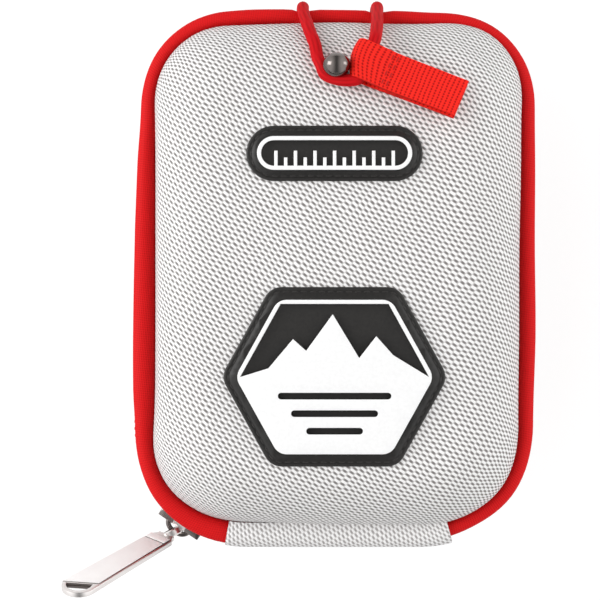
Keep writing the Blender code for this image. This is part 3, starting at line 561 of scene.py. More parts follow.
def extruded_rings(rings, closed=False):
    """A skin through rings of points, with a map of run and girth in millimetres."""
    bm = bmesh.new()
    corner = bm.verts.layers.int.new("corner")
    run = bm.verts.layers.float.new("run")
    first = [bm.verts.new(point) for point in rings[0]]
    for i, vert in enumerate(first):
        vert[corner] = i
    start = edges = [bm.edges.new(pair) for pair in zip(first, first[1:] + first[:1])]
    walked = 0.0
    for before, ring in zip(rings, rings[1:]):
        walked += sum((b - a).length for a, b in zip(before, ring)) / len(ring)
        made = bmesh.ops.extrude_edge_only(bm, edges=edges)["geom"]
        edges = [e for e in made if isinstance(e, bmesh.types.BMEdge) and e.is_boundary]
        for vert in (v for v in made if isinstance(v, bmesh.types.BMVert)):
            vert.co = ring[vert[corner]]
            vert[run] = walked
    if closed:
        bmesh.ops.bridge_loops(bm, edges=start + edges)
        walked += sum((b - a).length for a, b in zip(rings[-1], rings[0])) / len(rings[0])
    else:
        bmesh.ops.contextual_create(bm, geom=start)
        bmesh.ops.contextual_create(bm, geom=edges)
    bmesh.ops.recalc_face_normals(bm, faces=bm.faces)
    girths = [0.0]
    for a, b in zip(rings[0], rings[0][1:] + rings[0][:1]):
        girths.append(girths[-1] + (b - a).length)
    uv = bm.loops.layers.uv.new("cloth_mm")
    for face in bm.faces:
        runs = [loop.vert[run] for loop in face.loops]
        turns = [girths[loop.vert[corner]] for loop in face.loops]
        for loop, along, around in zip(face.loops, runs, turns):
            if max(runs) - along > walked / 2:
                along += walked
            if max(turns) - around > girths[-1] / 2:
                around += girths[-1]
            loop[uv].uv = (along / MM, around / MM)
    return bm


print("bead", 2 * BEAD / MM, "mm across")

# %% Both lengths of piping
BINDING_REDS = ("#c81013", "#d61518", "#de181b")
BIAS = math.radians(45)
BINDING = yarn_cloth("red_bias_binding", BINDING_REDS, (0.5, 0.4), BIAS, relief=0.02, wander=0.3, sheen=0.12)
STRANDS = {"left": -8.4 * MM, "right": 12.0 * MM}
DENT, DENT_WIDTH = 0.9 * MM, 2.0 * MM


def bead_reach(place, reach):
    """The bead's outer edge follows the rim, dented by the cord's strands. Where the wall stands back, the
    bead widens to it."""
    edge, wall = rim_wander(place)
    if place.y > 0:
        edge -= DENT * sum(math.exp(-(((place.x - x) / DENT_WIDTH) ** 2)) for x in STRANDS.values())
    if reach < 0:
        return reach + edge
    outer = BEAD_REACH + BEAD
    widened = max(1.0, (outer + edge - wall - GAP) / (2 * BEAD))
    return outer + edge - (outer - reach) * widened


def piping(half):
    """The binding round a half: a bead outside, a flat tail under the shell's edge."""
    dip = math.asin((TAIL + TAIL_THICK - BEAD_HEIGHT) / BEAD)
    bead = [tuple(p) for p in arc((BEAD_REACH, BEAD_HEIGHT), BEAD, -0.5 * math.pi, math.pi - dip, 24)]
    section = [(-SEAM_DEPTH, TAIL + TAIL_THICK), (-SEAM_DEPTH, TAIL)] + bead
    bm = extruded_rings(rim_rings(section, outline(0.0), half, bead_reach), closed=True)
    name = f"{BODY[half]}_piping"
    finish_piece(f"{name}_cloth", bm, BINDING, BODY[half], [name])


for half in (LID, BACK):
    piping(half)

# %% [markdown]
# ## The zip
# Each half has a woven tape with a row of moulded teeth on its edge, and the zip is open, so the rows
# stand apart. The teeth are the one shape here that comes in hundreds: each is a small cube with its
# edges taken off, 26 faces, set along the rim at the zip's pitch.

# %% Tapes and teeth
SLIT, SEAM, TAPE = 1.0 * MM, 3.0 * MM, 0.6 * MM
TAPE_TOP, TOOTH_FOOT, TOOTH_TOP, TOOTH_WIDTH = 2.6 * MM, 2.9 * MM, 4.5 * MM, 1.6 * MM
TOOTH_PITCH, TOOTH_LONG = 1.9 * MM, 1.15 * MM
STRIP_HALF = 31.0 * MM
STRIP_TURN = math.asin((STRIP_HALF - SHELL_WIDTH / 2 + FOOT_CORNER) / FOOT_CORNER)
SLIDER_LENGTH, SLIDER_CLEARANCE, SLIDER_ROOM = 13.0 * MM, 2.36 * MM, 1.2
SLIDER_ANGLE = 1.5 * math.pi - STRIP_TURN - (SLIDER_CLEARANCE + SLIDER_LENGTH / 2) / FOOT_CORNER
ZIP_CLEARANCE = 1.2 * MM
ZIP_END = STRIP_TURN + ZIP_CLEARANCE / FOOT_CORNER
ZIP_START = {
    LID: SLIDER_ANGLE - SLIDER_ROOM * SLIDER_LENGTH / 2 / FOOT_CORNER,
    BACK: 1.5 * math.pi - ZIP_END,
}
ZIP_DRAW, ZIP_DRAW_SLOPE, ZIP_FOOT = 0.2 * MM, 0.05, -20 * MM


def moulded(name, shade, dark, roughness, grit_mm, metallic=0.0, relief=0.02):
    """Moulded or plated surfaces are smooth with a faint grit, which shows as an uneven gloss. The grit's
    size and relief are in mm."""
    made, tree, shader = new_material(name)
    place = add_node(tree, "TexCoord")
    grit = add_node(
        tree, "TexNoise",
        {"Vector": place.outputs["Object"], "Scale": 1 / (grit_mm * MM), "Detail": 4.0},
    )
    tint = grade(add_node(tree, "ValToRGB", {0: grit.outputs[0]}), (0.3, dark), (0.65, shade))
    gloss = add_node(
        tree, "MapRange",
        {"Value": grit.outputs[0], "To Min": 0.75 * roughness, "To Max": 1.25 * roughness},
    )
    bump = add_node(tree, "Bump", {"Height": grit.outputs[0], "Strength": 0.3, "Distance": relief * MM})
    tree.links.new(tint.outputs[0], shader.inputs["Base Color"])
    tree.links.new(gloss.outputs[0], shader.inputs["Roughness"])
    tree.links.new(bump.outputs[0], shader.inputs["Normal"])
    shader.inputs["Metallic"].default_value = metallic
    return made


TAPE_REDS = ("#8f070a", "#b41216", "#c9181c")
TAPE_CLOTH = yarn_cloth("red_zip_tape", TAPE_REDS, (0.6, 0.5), relief=0.05, wander=0.1, sheen=0.15)
NYLON = moulded("red_moulded_nylon", "#cf2227", "#bd191e", 0.4, 1.2)


def zip_line(half):
    """The outline along a half's zip."""
    return around_case(0.0, ZIP_START[half], 1.5 * math.pi + ZIP_END)


def zip_reach(place, reach):
    """The zip is drawn in with the piping, but less at the foot, where the slider runs."""
    limit = ZIP_DRAW + ZIP_DRAW_SLOPE * max(0.0, place.y - ZIP_FOOT)
    return reach + max(-limit, min(0.0, rim_wander(place)[0]))


def tape(half):
    """A flat tape in the seam, turned up along the slit."""
    section = [
        (TAPE_TOP - TAPE, SLIT), (TAPE_TOP, SLIT), (TAPE_TOP, SEAM + TAPE),
        (-SEAM_DEPTH, SEAM + TAPE), (-SEAM_DEPTH, SEAM), (TAPE_TOP - TAPE, SEAM),
    ]
    bm = extruded_rings(rim_rings(section, zip_line(half), half, zip_reach))
    name = f"{BODY[half]}_zip_tape"
    finish_piece(f"{name}_cloth", bm, TAPE_CLOTH, BODY[half], [name])


def even_places(line, pitch):
    """Places at an even pitch along a line, each with the line's direction there."""
    walked, target = 0.0, pitch / 2
    for a, b in zip(line, line[1:]):
        length = (b - a).length
        while target < walked + length:
            yield a.lerp(b, (target - walked) / length), (b - a).normalized()
            target += pitch
        walked += length


def teeth(half):
    """Cubes at the zip's pitch, with their edges taken off."""
    bm = bmesh.new()
    z = level(half, SLIT + TOOTH_WIDTH / 2)
    size = Matrix.Diagonal((TOOTH_LONG, TOOTH_TOP - TOOTH_FOOT, TOOTH_WIDTH, 1.0))
    middle = (TOOTH_FOOT + TOOTH_TOP) / 2
    line = [place + outward(*place) * zip_reach(place, middle) for place in zip_line(half)]
    for place, way in even_places(line, TOOTH_PITCH):
        turn = Matrix.Rotation(math.atan2(way.y, way.x), 4, "Z")
        bmesh.ops.create_cube(bm, size=1.0, matrix=Matrix.Translation((*place, z)) @ turn @ size)
    bmesh.ops.bevel(
        bm, geom=bm.edges[:], offset=0.3 * MM, segments=1, profile=0.5, affect="EDGES", material=-1
    )
    name = f"{BODY[half]}_zip_teeth"
    finish_piece(f"{name}_row", bm, NYLON, BODY[half], [name])


for half in (LID, BACK):
    tape(half)
    teeth(half)

# %% [markdown]
# ## Hinge strip
# A strip of the shell's cloth is sewn over the foot of both halves and serves as the hinge. Its section
# goes over one bead, across the zip's gap and over the other bead.

# %% The strip
STRIP, STRIP_LAP, STRIP_LEFT = 1.3 * MM, 1.3 * MM, 0.68  # the last is a share of the turn
STRIP_ROUND, STRIP_SHARP = 0.35 * MM, math.radians(50)
STRIP_GREYS = ("#a5a1a0", "#d8d5d4", "#fdfcfc")
STRIP_CLOTH = yarn_cloth("grey_strip_nylon", STRIP_GREYS, (1.5, 0.62), math.radians(-58), 0.11, wander=0.8)


def foot_line():
    """The shell's outline under the strip, which stops a little short at the slider's side."""
    down = 1.5 * math.pi
    left = arc(corner_centre(-1, False), FOOT_CORNER, down - STRIP_LEFT * STRIP_TURN, down, 8)
    right = arc(corner_centre(1, False), FOOT_CORNER, down, down + STRIP_TURN, 8)
    return left + side(left[-1], right[0], 3 * MM) + right


def round_edges(bm, edges, offset):
    """Rounds edges with a small bevel."""
    bmesh.ops.bevel(bm, geom=edges, offset=offset, segments=2, profile=0.5, affect="EDGES", material=-1)


def strip_section():
    """Inner and outer face of the strip, over both beads."""
    centre = (BEAD_REACH, BEAD_HEIGHT)
    faces = []
    for radius in (BEAD + GAP, BEAD + GAP + STRIP):
        over = arc(centre, radius, 0.0, 0.5 * math.pi, 8)
        wall = (BEAD_HEIGHT + radius - EDGE) * math.tan(DRAFT) - GAP / math.cos(DRAFT)
        lap = Vector((max(-STRIP_LAP, -wall), BEAD_HEIGHT + radius))
        upper = [Vector((over[0].x, share * over[0].y)) for share in (0.33, 0.67)] + over + [lap]
        faces.append([Vector((p.x, -p.y)) for p in upper[::-1]] + upper)
    return [tuple(p) for p in faces[0] + faces[1][::-1]]


bm = extruded_rings(rim_rings(strip_section(), foot_line(), LID))
ends = [e for e in bm.edges if e.calc_face_angle(0.0) > STRIP_SHARP]
round_edges(bm, ends, STRIP_ROUND)
strip = finish_piece("hinge_strip_cloth", bm, STRIP_CLOTH, None, ["hinge_strip"])
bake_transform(strip)

# %% [markdown]
# ## Ball stud
# A ball on a short neck is riveted through the lid, over a washer inside. Turned pieces start as half a
# profile, which is spun about its axis. The metal is steel with a dark nickel plate: dark where it
# mirrors the strip overhead, with the softboxes as two white patches. The ball is moved
# and squashed a little to match the picture.

# %% Stud and washer
STUD_INSET = 13.6 * MM
BALL, BALL_RISE, NECK, SHANK, PEEN = 3.5 * MM, 5.2 * MM, 2.2 * MM, 1.6 * MM, 2.6 * MM
WASHER, WASHER_THICK, PEEN_THICK = 4.0 * MM, 0.8 * MM, 1.2 * MM
COLLAR, COLLAR_HEIGHT, PEEN_ROUND = 1.25 * NECK, 1.2 * MM, 0.7 * PEEN_THICK
STUD_NUDGE, STUD_SQUASH = (0.5 * MM, -0.4 * MM, 0.0), (1.04, 0.94, 1.0, 1.0)
WALL = LINING_START + LINING
# Dark nickel is the stud's and the bridge's plate; on the slider and the pull the same material is painted
# shade.
DARK_NICKEL_AND_SHADE = moulded("dark_nickel_and_painted_shade", "#756e6b", "#6f6866", 0.18, 3.0, metallic=1.0, relief=0.003)
NICKEL = moulded("bright_nickel_plate", "#dfdbd9", "#d9d4d2", 0.3, 5.0, metallic=1.0, relief=0.002)


def frame_along(place, direction):
    """A frame at a place, with its Z along a direction."""
    return Matrix.Translation(place) @ direction.to_track_quat("Z", "Y").to_matrix().to_4x4()


def top_place(half, x, angle, lift):
    """A point on the case's top side, at an angle on the shoulder and lifted off the cloth."""
    inset, height, _ = shoulder(half)
    y = SHELL_LENGTH / 2 - inset + (SHOULDER + lift) * math.cos(angle)
    return Vector((x, y, level(half, height + (SHOULDER + lift) * math.sin(angle))))


def turned(points, place, closed):
    """A profile of (radius, height) spun about the frame's Z."""
    bm = bmesh.new()
    verts = [bm.verts.new((radius, 0.0, height)) for radius, height in points]
    pairs = list(zip(verts, verts[1:])) + ([(verts[-1], verts[0])] if closed else [])
    edges = [bm.edges.new(pair) for pair in pairs]
    bmesh.ops.spin(
        bm, geom=verts + edges, cent=(0, 0, 0), axis=(0, 0, 1), angle=2 * math.pi, steps=48, use_merge=True
    )
    bmesh.ops.remove_doubles(bm, verts=bm.verts, dist=TINY)
    bmesh.ops.recalc_face_normals(bm, faces=bm.faces)
    bmesh.ops.transform(bm, matrix=place, verts=bm.verts)
    return bm


stud_angle = math.acos((shoulder(LID)[0] - STUD_INSET) / SHOULDER)
stud_frame = frame_along(
    top_place(LID, 0.0, stud_angle, 0.0), Vector((0.0, math.cos(stud_angle), math.sin(stud_angle)))
)
stud_set = Matrix.Translation(STUD_NUDGE) @ stud_frame @ Matrix.Diagonal(STUD_SQUASH)
bed = SHOULDER - WALL
washer_top = -(WALL + bed - math.sqrt(bed**2 - WASHER**2) + GAP)
peen_top = washer_top - WASHER_THICK - GAP
ball = [tuple(p) for p in arc((0.0, BALL_RISE), BALL, 0.5 * math.pi, -math.acos(NECK / BALL), 24)]
rivet = arc((0.0, peen_top - PEEN_THICK + PEEN_ROUND), PEEN_ROUND, 0.0, -0.5 * math.pi, 6)
head = [(p.x * PEEN / PEEN_ROUND, p.y) for p in rivet]
stud_profile = [(0.0, BALL_RISE + BALL)] + ball[1:] + [
    (NECK, COLLAR_HEIGHT), (COLLAR, GAP), (SHANK, GAP), (SHANK, peen_top), (PEEN, peen_top)
] + head
bm = turned(stud_profile, stud_set, False)
finish_piece("stud_metal", bm, DARK_NICKEL_AND_SHADE, "lid", ["stud_ball"])


def ring_profile(bore, rim, top, foot, round_off):
    """A flat ring with its outer edges rounded."""
    return [
        (bore, top), (rim - round_off, top), (rim, top - round_off),
        (rim, foot + round_off), (rim - round_off, foot), (bore, foot),
    ]


washer = ring_profile(SHANK + GAP, WASHER, washer_top, washer_top - WASHER_THICK, 0.2 * MM)
bm = turned(washer, stud_set, True)
finish_piece("stud_washer_metal", bm, NICKEL, "lid", ["stud_washer"])

# %% [markdown]
# Two eyelets line the holes where the elastic cord enters the back. An eyelet is a tube rolled over at
# both ends, so its profile is a barrel between two round lips.

# %% Eyelets
CORD, EYELET_DROP, EYELET_FLANGE, EYELET_WALL = 1.5 * MM, 11.8 * MM, 3.4 * MM, 0.6 * MM


def eyelet_frame(x):
    """On the back's top wall, with Z out of the wall."""
    inset = (EYELET_DROP - EDGE) * math.tan(DRAFT)
    place = Vector((x, SHELL_LENGTH / 2 - inset, level(BACK, EYELET_DROP)))
    return frame_along(place, Vector((0.0, math.cos(DRAFT), -math.sin(DRAFT))))


def eyelet_profile():
    """A barrel between two round lips."""
    bore, inside = CORD + GAP, -(WALL + GAP)
    lip = EYELET_WALL / 2
    outer = arc((EYELET_FLANGE - lip, GAP + lip), lip, 0.5 * math.pi, -0.5 * math.pi, 8)
    inner = arc((EYELET_FLANGE - lip, inside - lip), lip, 0.5 * math.pi, -0.5 * math.pi, 8)
    barrel = [(bore + EYELET_WALL, GAP), (bore + EYELET_WALL, inside)]
    throat = [(bore, inside - 0.6 * EYELET_WALL), (bore, GAP + 0.6 * EYELET_WALL)]
    return [tuple(p) for p in outer] + barrel + [tuple(p) for p in inner] + throat


for name, x in STRANDS.items():
    node = f"cord_eyelet_{name}"
    bm = turned(eyelet_profile(), eyelet_frame(x), True)
    finish_piece(f"{node}_metal", bm, NICKEL, "back", [node])

# %% [markdown]
# ## Elastic loop
# A braided elastic cord comes out of one eyelet, goes over the zip and up the lid, round under the ball,
# through the folded tab and back down to the other eyelet. Its route is a short list of points beside
# what it lies on, joined by one smooth curve. Round rings are carried along that curve without twist, so
# the braid can follow the map.

# %% The cord's route
TAB_WIDTH, TAB_REACH, WEBBING, TAB_PLAY = 10.7 * MM, 26.7 * MM, 1.1 * MM, 0.5 * MM
TAB_X, TAB_ANGLE = 8.9 * MM, math.radians(69.6)
TAB_TILT, TAB_TURN = math.radians(14), math.radians(-22)
FOLD_OUT, FOLD_SKEW, FOLD_BULGE, FOLD_FADE = 0.8 * MM, 0.9 * MM, 1.1 * MM, 8.0 * MM
CORD_END = -(WALL + 2 * GAP + EYELET_WALL)
CORD_FULL = 1.7 * MM  # the braid swells a little past its nominal size
CORD_STEP, CURVE_STEPS = 0.6 * MM, 20
BEAD_TURNS = (BACK, 45), (BACK, 0), (LID, 0), (LID, 50)  # degrees from straight out, over both beads
LEFT_RUN = [(-6.3 * MM, 35), (-5.1 * MM, 50), (-4.5 * MM, 62)]  # across, and degrees up the shoulder
LOOP_NUDGE, LOOP_TURNS, LOOP_SAG = Vector((0.3 * MM, 0.9 * MM, 0.0)), (180, 222, 264), 0.35
TAB_SHARES = (-0.46, -0.2, 0.25, 0.6)  # of the tab's width, inside its fold


def tab_axes():
    """The tab's middle on the cord, and its ways along its length, out of the lid and along the cord."""
    place = top_place(LID, TAB_X, TAB_ANGLE, CORD + TAB_PLAY + WEBBING + GAP)
    out = Vector((0.0, math.sin(TAB_TILT), math.cos(TAB_TILT)))
    along = Vector((math.cos(TAB_TURN), math.sin(TAB_TURN), 0.0))
    along.z = -along.dot(out) / out.z
    along.normalize()
    return place, along, out, out.cross(along)


def bead_place(x, half, degrees):
    """The cord's middle beside a bead on the case's top side, at an angle from straight out."""
    away = BEAD + CORD + GAP - DENT
    turn = math.radians(degrees)
    y = SHELL_LENGTH / 2 + BEAD_REACH + away * math.cos(turn)
    return Vector((x, y, level(half, BEAD_HEIGHT + away * math.sin(turn))))


def strand_start(x):
    """From the knot, out of the eyelet and over both beads."""
    inside = [eyelet_frame(x) @ Vector((0.0, 0.0, depth)) for depth in (CORD_END, -WALL / 2, 2 * CORD)]
    return inside + [bead_place(x, half, turn) for half, turn in BEAD_TURNS]


def cord_route():
    """The route's own points: left strand, round under the ball, through the tab, right strand."""
    rest = CORD + GAP
    shoulder_run = [top_place(LID, x, math.radians(degrees), rest) for x, degrees in LEFT_RUN]
    ring = NECK + CORD + GAP / 2
    up = Vector((0.0, math.sin(stud_angle), -math.cos(stud_angle)))
    middle = stud_frame @ Vector((0.0, 0.0, rest)) + LOOP_NUDGE
    turns = [math.radians(degrees) for degrees in LOOP_TURNS]
    loop = [middle + ring * (Vector((math.cos(t), 0.0, 0.0)) + up * math.sin(t)) for t in turns]
    place, along, _, cord_way = tab_axes()
    place = place - along * FOLD_OUT
    tab = [place + cord_way * TAB_WIDTH * share for share in TAB_SHARES]
    bend = [loop[-1].lerp(tab[0], 0.5) - up * LOOP_SAG * CORD]
    first, last = strand_start(STRANDS["left"]), strand_start(STRANDS["right"])
    return first + shoulder_run + loop + bend + tab + last[::-1]


def mix(p, q, start, end, t):
    """The place at t on the line with p at its start and q at its end."""
    return p.lerp(q, (t - start) / (end - start))


def smooth_line(points, step):
    """A smooth curve through the points, read at even steps."""
    ends = [2 * points[0] - points[1], *points, 2 * points[-1] - points[-2]]
    fine = []
    for a, b, c, d in zip(ends, ends[1:], ends[2:], ends[3:]):
        k = [0.0]
        for start, end in ((a, b), (b, c), (c, d)):
            k.append(k[-1] + math.sqrt((end - start).length))
        for i in range(CURVE_STEPS):
            t = k[1] + (k[2] - k[1]) * i / CURVE_STEPS
            middle = mix(b, c, k[1], k[2], t)
            low = mix(mix(a, b, k[0], k[1], t), middle, k[0], k[2], t)
            high = mix(middle, mix(c, d, k[2], k[3], t), k[1], k[3], t)
            fine.append(mix(low, high, k[1], k[2], t))
    fine.append(points[-1])
    total = sum((q - p).length for p, q in zip(fine, fine[1:]))
    even = [place for place, _ in even_places(fine, total / round(total / step))]
    return [fine[0]] + even + [fine[-1]]


cord_line = smooth_line(cord_route(), CORD_STEP)
cord_length = sum((q - p).length for p, q in zip(cord_line, cord_line[1:]))
print("cord", round(cord_length / MM, 1), "mm through", len(cord_line), "points")

# %% Cord and knots
ELASTIC_REDS = ("#b60d14", "#c41119", "#cd131b")
ELASTIC = yarn_cloth(
    "red_braided_elastic", ELASTIC_REDS, (7.0, 0.6), math.radians(3), relief=0.03, wander=0.2, sheen=0.08
)


def tube_rings(points, radius, sides=16):
    """Round rings along a line, carried from point to point without twist."""
    rings = []
    across = (points[1] - points[0]).orthogonal()
    for before, here, after in zip(points[:1] + points, points, points[1:] + points[-1:]):
        way = (after - before).normalized()
        across = (across - way * across.dot(way)).normalized()
        up = way.cross(across)
        spin = [2 * math.pi * i / sides for i in range(sides)]
        rings.append([here + radius * (across * math.cos(t) + up * math.sin(t)) for t in spin])
    return rings


bm = extruded_rings(tube_rings(cord_line, CORD_FULL))
cord = finish_piece("elastic_cord", bm, ELASTIC, None, ["elastic_loop"])
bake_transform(cord)
eyelet_frame(STRANDS["left"]).translation

KNOT, KNOT_TIGHT, KNOT_CORD, KNOT_STEPS = 3.0 * MM, 0.2, 0.62 * CORD, 72


def overhand(middle, turn):
    """An overhand knot pulled tight: a trefoil of cord, flattened against the wall."""
    points = []
    for i in range(KNOT_STEPS):
        t = 2 * math.pi * i / KNOT_STEPS
        x, y = math.sin(t) + 2 * math.sin(2 * t), math.cos(t) - 2 * math.cos(2 * t)
        trefoil = Vector((x, y, -1.2 * math.sin(3 * t)))
        points.append(middle + turn @ (trefoil * KNOT_TIGHT * KNOT))
    return points


for name, x in STRANDS.items():
    place = eyelet_frame(x)
    middle = place @ Vector((0.0, 0.0, CORD_END - GAP - KNOT))
    line = overhand(middle, place.to_3x3())
    bm = extruded_rings(tube_rings(line + line[:1], KNOT_CORD, 12))
    finish_piece(f"cord_knot_{name}_braid", bm, ELASTIC, "back", [f"cord_knot_{name}"])

# %% [markdown]
# ## Webbing tab
# A length of flat webbing is folded over the cord and sewn to itself, so that a gloved hand can pull the
# loop off the ball. One ribbon runs out along the lower layer, round the cord and back along the upper
# one. Its edge is a closed ring of points, extruded across the width, and its map runs along the ribbon,
# so the ribs turn with the fold.

# %% The tab
WEB_REDS = ("#a40b08", "#d91a13", "#f8291f")
WEB = yarn_cloth("red_nylon_webbing", WEB_REDS, (1.2, 0.8), wander=0.6, sheen=0.12, ribbed=True)
SWELL = [(26.7, 0.25), (20, 0.1), (13, 0.0), (8.6, -0.06), (6.4, 0.12), (3.6, 0.95)]  # along and out, in mm
LAYER_GAP, RIBBON_STEP = 0.03 * MM, 0.5 * MM
LAYER_SLIP = 0.45 * MM  # the lower layer shows past the upper one's edge
TAB_TAPER, TAB_ROWS, EDGE_THIN = 0.1, 12, 0.35


def ribbon_line():
    """The ribbon's middle, as places along the tab and out of it."""
    bend = CORD + TAB_PLAY + WEBBING / 2
    half = WEBBING / 2 + LAYER_GAP
    fold = arc((0.0, 0.0), bend, math.radians(115), math.radians(245), 10)
    upper = [Vector((x * MM, half + swell * MM)) for x, swell in SWELL]
    lower = [Vector((p.x, -p.y)) for p in upper[::-1]]
    flat = smooth_line([p.to_3d() for p in upper + fold + lower], RIBBON_STEP)
    return [p.to_2d() for p in flat]


def ribbon_ring(line, thick):
    """The ribbon's outline: one face outwards, the other back."""
    faces = ([], [])
    for before, here, after in zip(line[:1] + line, line, line[1:] + line[-1:]):
        way = (after - before).normalized()
        normal = Vector((-way.y, way.x))
        faces[0].append(here + normal * thick / 2)
        faces[1].append(here - normal * thick / 2)
    return faces[0] + faces[1][::-1]


place, along, out, cord_way = tab_axes()
ring = ribbon_ring(ribbon_line(), WEBBING)
rows = []
for i in range(TAB_ROWS + 1):
    share = 2 * i / TAB_ROWS - 1
    thin = 1 - EDGE_THIN * abs(share) ** 8
    bulge = FOLD_OUT + FOLD_SKEW * share + FOLD_BULGE * (1 - share**2)
    row = []
    for p in ring:
        near = 1 - min(1.0, max(0.0, p.x / FOLD_FADE))
        near = near**2 * (3 - 2 * near)
        slip = LAYER_SLIP * (1 - near) if p.y < 0 else 0.0
        narrow = 1 - TAB_TAPER * max(0.0, -share) * max(0.0, p.x / TAB_REACH)
        across = cord_way * (share * narrow * TAB_WIDTH / 2 - slip)
        row.append(place + along * (p.x - bulge * near) + out * p.y * (0.5 + 0.5 * thin) + across)
    rows.append(row)
bm = extruded_rings(rows)
uv = bm.loops.layers.uv["cloth_mm"]
for face in bm.faces:
    for loop in face.loops:
        loop[uv].uv = loop[uv].uv.yx
finish_piece("webbing_tab", bm, WEB, "tab", ["pull_tab"], smooth=50)

STITCH, STITCH_GAP, THREAD, THREAD_RISE = 1.7 * MM, 0.7 * MM, 0.24 * MM, 0.2 * MM
TAB_STITCHES = 4
STITCH_ROWS = (5.6 * MM, 1.36 * MM), (7.0 * MM, 1.2 * MM)  # along the tab, and out of it
# The thread is its own red, made darker as painted shade of the stitched dip.
RED_THREAD_AND_SHADE = moulded("red_thread_and_painted_shade", "#c8180f", "#ad120b", 0.9, 0.25, relief=0.05)


def add_stitch(bm, place):
    """A short capsule of thread along the place's X, which dips at both ends."""
    size = Matrix.Diagonal((STITCH / 2, THREAD, THREAD_RISE, 1.0))
    bmesh.ops.create_uvsphere(bm, u_segments=8, v_segments=6, radius=1.0, matrix=place @ size)


bm = bmesh.new()
turn = Matrix((cord_way, -along, out)).transposed().to_4x4()
for x, lift in STITCH_ROWS:
    for i in range(TAB_STITCHES):
        across = (i - (TAB_STITCHES - 1) / 2) * (STITCH + STITCH_GAP)
        add_stitch(bm, Matrix.Translation(place + along * x + cord_way * across + out * lift) @ turn)
finish_piece("tab_stitches", bm, RED_THREAD_AND_SHADE, "tab", [], smooth=80)

# %% [markdown]
# ## Rubber patches
# The two patches are moulded soft rubber, sewn to the lid along a groove near their edge. Each starts as
# one flat face. Insets give it a round edge and the groove, as they gave the shell its profile, and the
# lid's crown bends it last. The raised white layer is a second pour of rubber: its outline and its
# windows are filled together.

# %% Flat shapes
RUBBER, INLAY, LINE = 1.6 * MM, 0.5 * MM, 1.1 * MM
PATCH_GRID = 4.0 * MM
BLACK_RUBBER = moulded("black_moulded_rubber", "#23211f", "#1b1918", 0.5, 0.7, relief=0.03)
WHITE_RUBBER = moulded("white_moulded_rubber", "#fbfbfb", "#f6f6f6", 0.5, 0.9, relief=0.008)


def lid_face(x, y):
    """Height of the lid's face above the back face."""
    return level(LID, profile(LID, 0.0, 1)[-1][1] + crown_rise(x, y, LID))


def lay_on_lid(bm, lift):
    """Cuts a flat shape into a grid and lays it on the crowned face."""
    for way in (Vector((1, 0, 0)), Vector((0, 1, 0))):
        spread = [vert.co.dot(way) for vert in bm.verts]
        for i in range(math.ceil(min(spread) / PATCH_GRID), math.floor(max(spread) / PATCH_GRID) + 1):
            geom = bm.verts[:] + bm.edges[:] + bm.faces[:]
            bmesh.ops.bisect_plane(bm, geom=geom, dist=TINY, plane_co=way * i * PATCH_GRID, plane_no=way)
    for vert in bm.verts:
        vert.co.z += lid_face(vert.co.x, vert.co.y) + lift


def inset_polygon(corners, inset):
    """A convex outline, listed anticlockwise, moved inwards."""
    moved = []
    for before, here, after in zip(corners[-1:] + corners[:-1], corners, corners[1:] + corners[:1]):
        a, b = (here - before).normalized(), (after - here).normalized()
        inner_a, inner_b = Vector((-a.y, a.x)), Vector((-b.y, b.x))
        half = (inner_a + inner_b).normalized()
        moved.append(here + half * inset / half.dot(inner_a))
    return moved


def rounded(corners, radius, steps=10):
    """An outline with its corners rounded."""
    line = []
    for before, here, after in zip(corners[-1:] + corners[:-1], corners, corners[1:] + corners[:1]):
        to_before, to_after = (before - here).normalized(), (after - here).normalized()
        half_angle = to_before.angle(to_after) / 2
        middle = here + (to_before + to_after).normalized() * radius / math.sin(half_angle)
        start = here + to_before * radius / math.tan(half_angle) - middle
        sweep = math.pi - 2 * half_angle
        line += [middle + Matrix.Rotation(sweep * i / steps, 2) @ start for i in range(steps + 1)]
    return line


def stadium(width, height, y, steps=20):
    """A bar with round ends, anticlockwise from its foot's right end."""
    radius = height / 2
    half = width / 2 - radius
    right = arc((half, y), radius, -0.5 * math.pi, 0.5 * math.pi, steps)
    return right + arc((-half, y), radius, 0.5 * math.pi, 1.5 * math.pi, steps)


print("rubber", RUBBER / MM, "mm thick")

# %% Patch bases and their stitches
BLACK_THREAD = moulded("black_polyester_thread", "#2e2b29", "#141312", 0.6, 0.25, relief=0.05)
STITCH_INSET, STITCH_LIFT = 1.3 * MM, 1.4 * MM
PATCH_EDGE = [
    (0.0, 1.25), (0.12, 1.47), (0.35, 1.6), (0.95, 1.6), (1.08, 1.38), (1.52, 1.38), (1.65, 1.6),
]  # inset and height in mm: round edge, rim, stitch groove


def rubber_base(name, contour, node):
    """A patch with a round edge and a groove for its stitches."""
    bm = bmesh.new()
    face = bm.faces.new([bm.verts.new((*p, 0.0)) for p in contour])
    steps = [(inset * MM, height * MM) for inset, height in PATCH_EDGE]
    bmesh.ops.inset_region(bm, faces=[face], thickness=TINY, depth=steps[0][1], use_boundary=True)
    inset_steps(bm, face, steps)
    lay_on_lid(bm, GAP)
    finish_piece(f"{name}_rubber", bm, BLACK_RUBBER, "lid", [node], smooth=70)


def stitches(name, line, lift):
    """A row of stitches on the lid."""
    bm = bmesh.new()
    for place, way in even_places(line + line[:1], STITCH + STITCH_GAP):
        middle = Vector((*place, lid_face(*place) + lift))
        add_stitch(bm, Matrix.Translation(middle) @ Matrix.Rotation(math.atan2(way.y, way.x), 4, "Z"))
    finish_piece(name, bm, BLACK_THREAD, "lid", [], smooth=80)


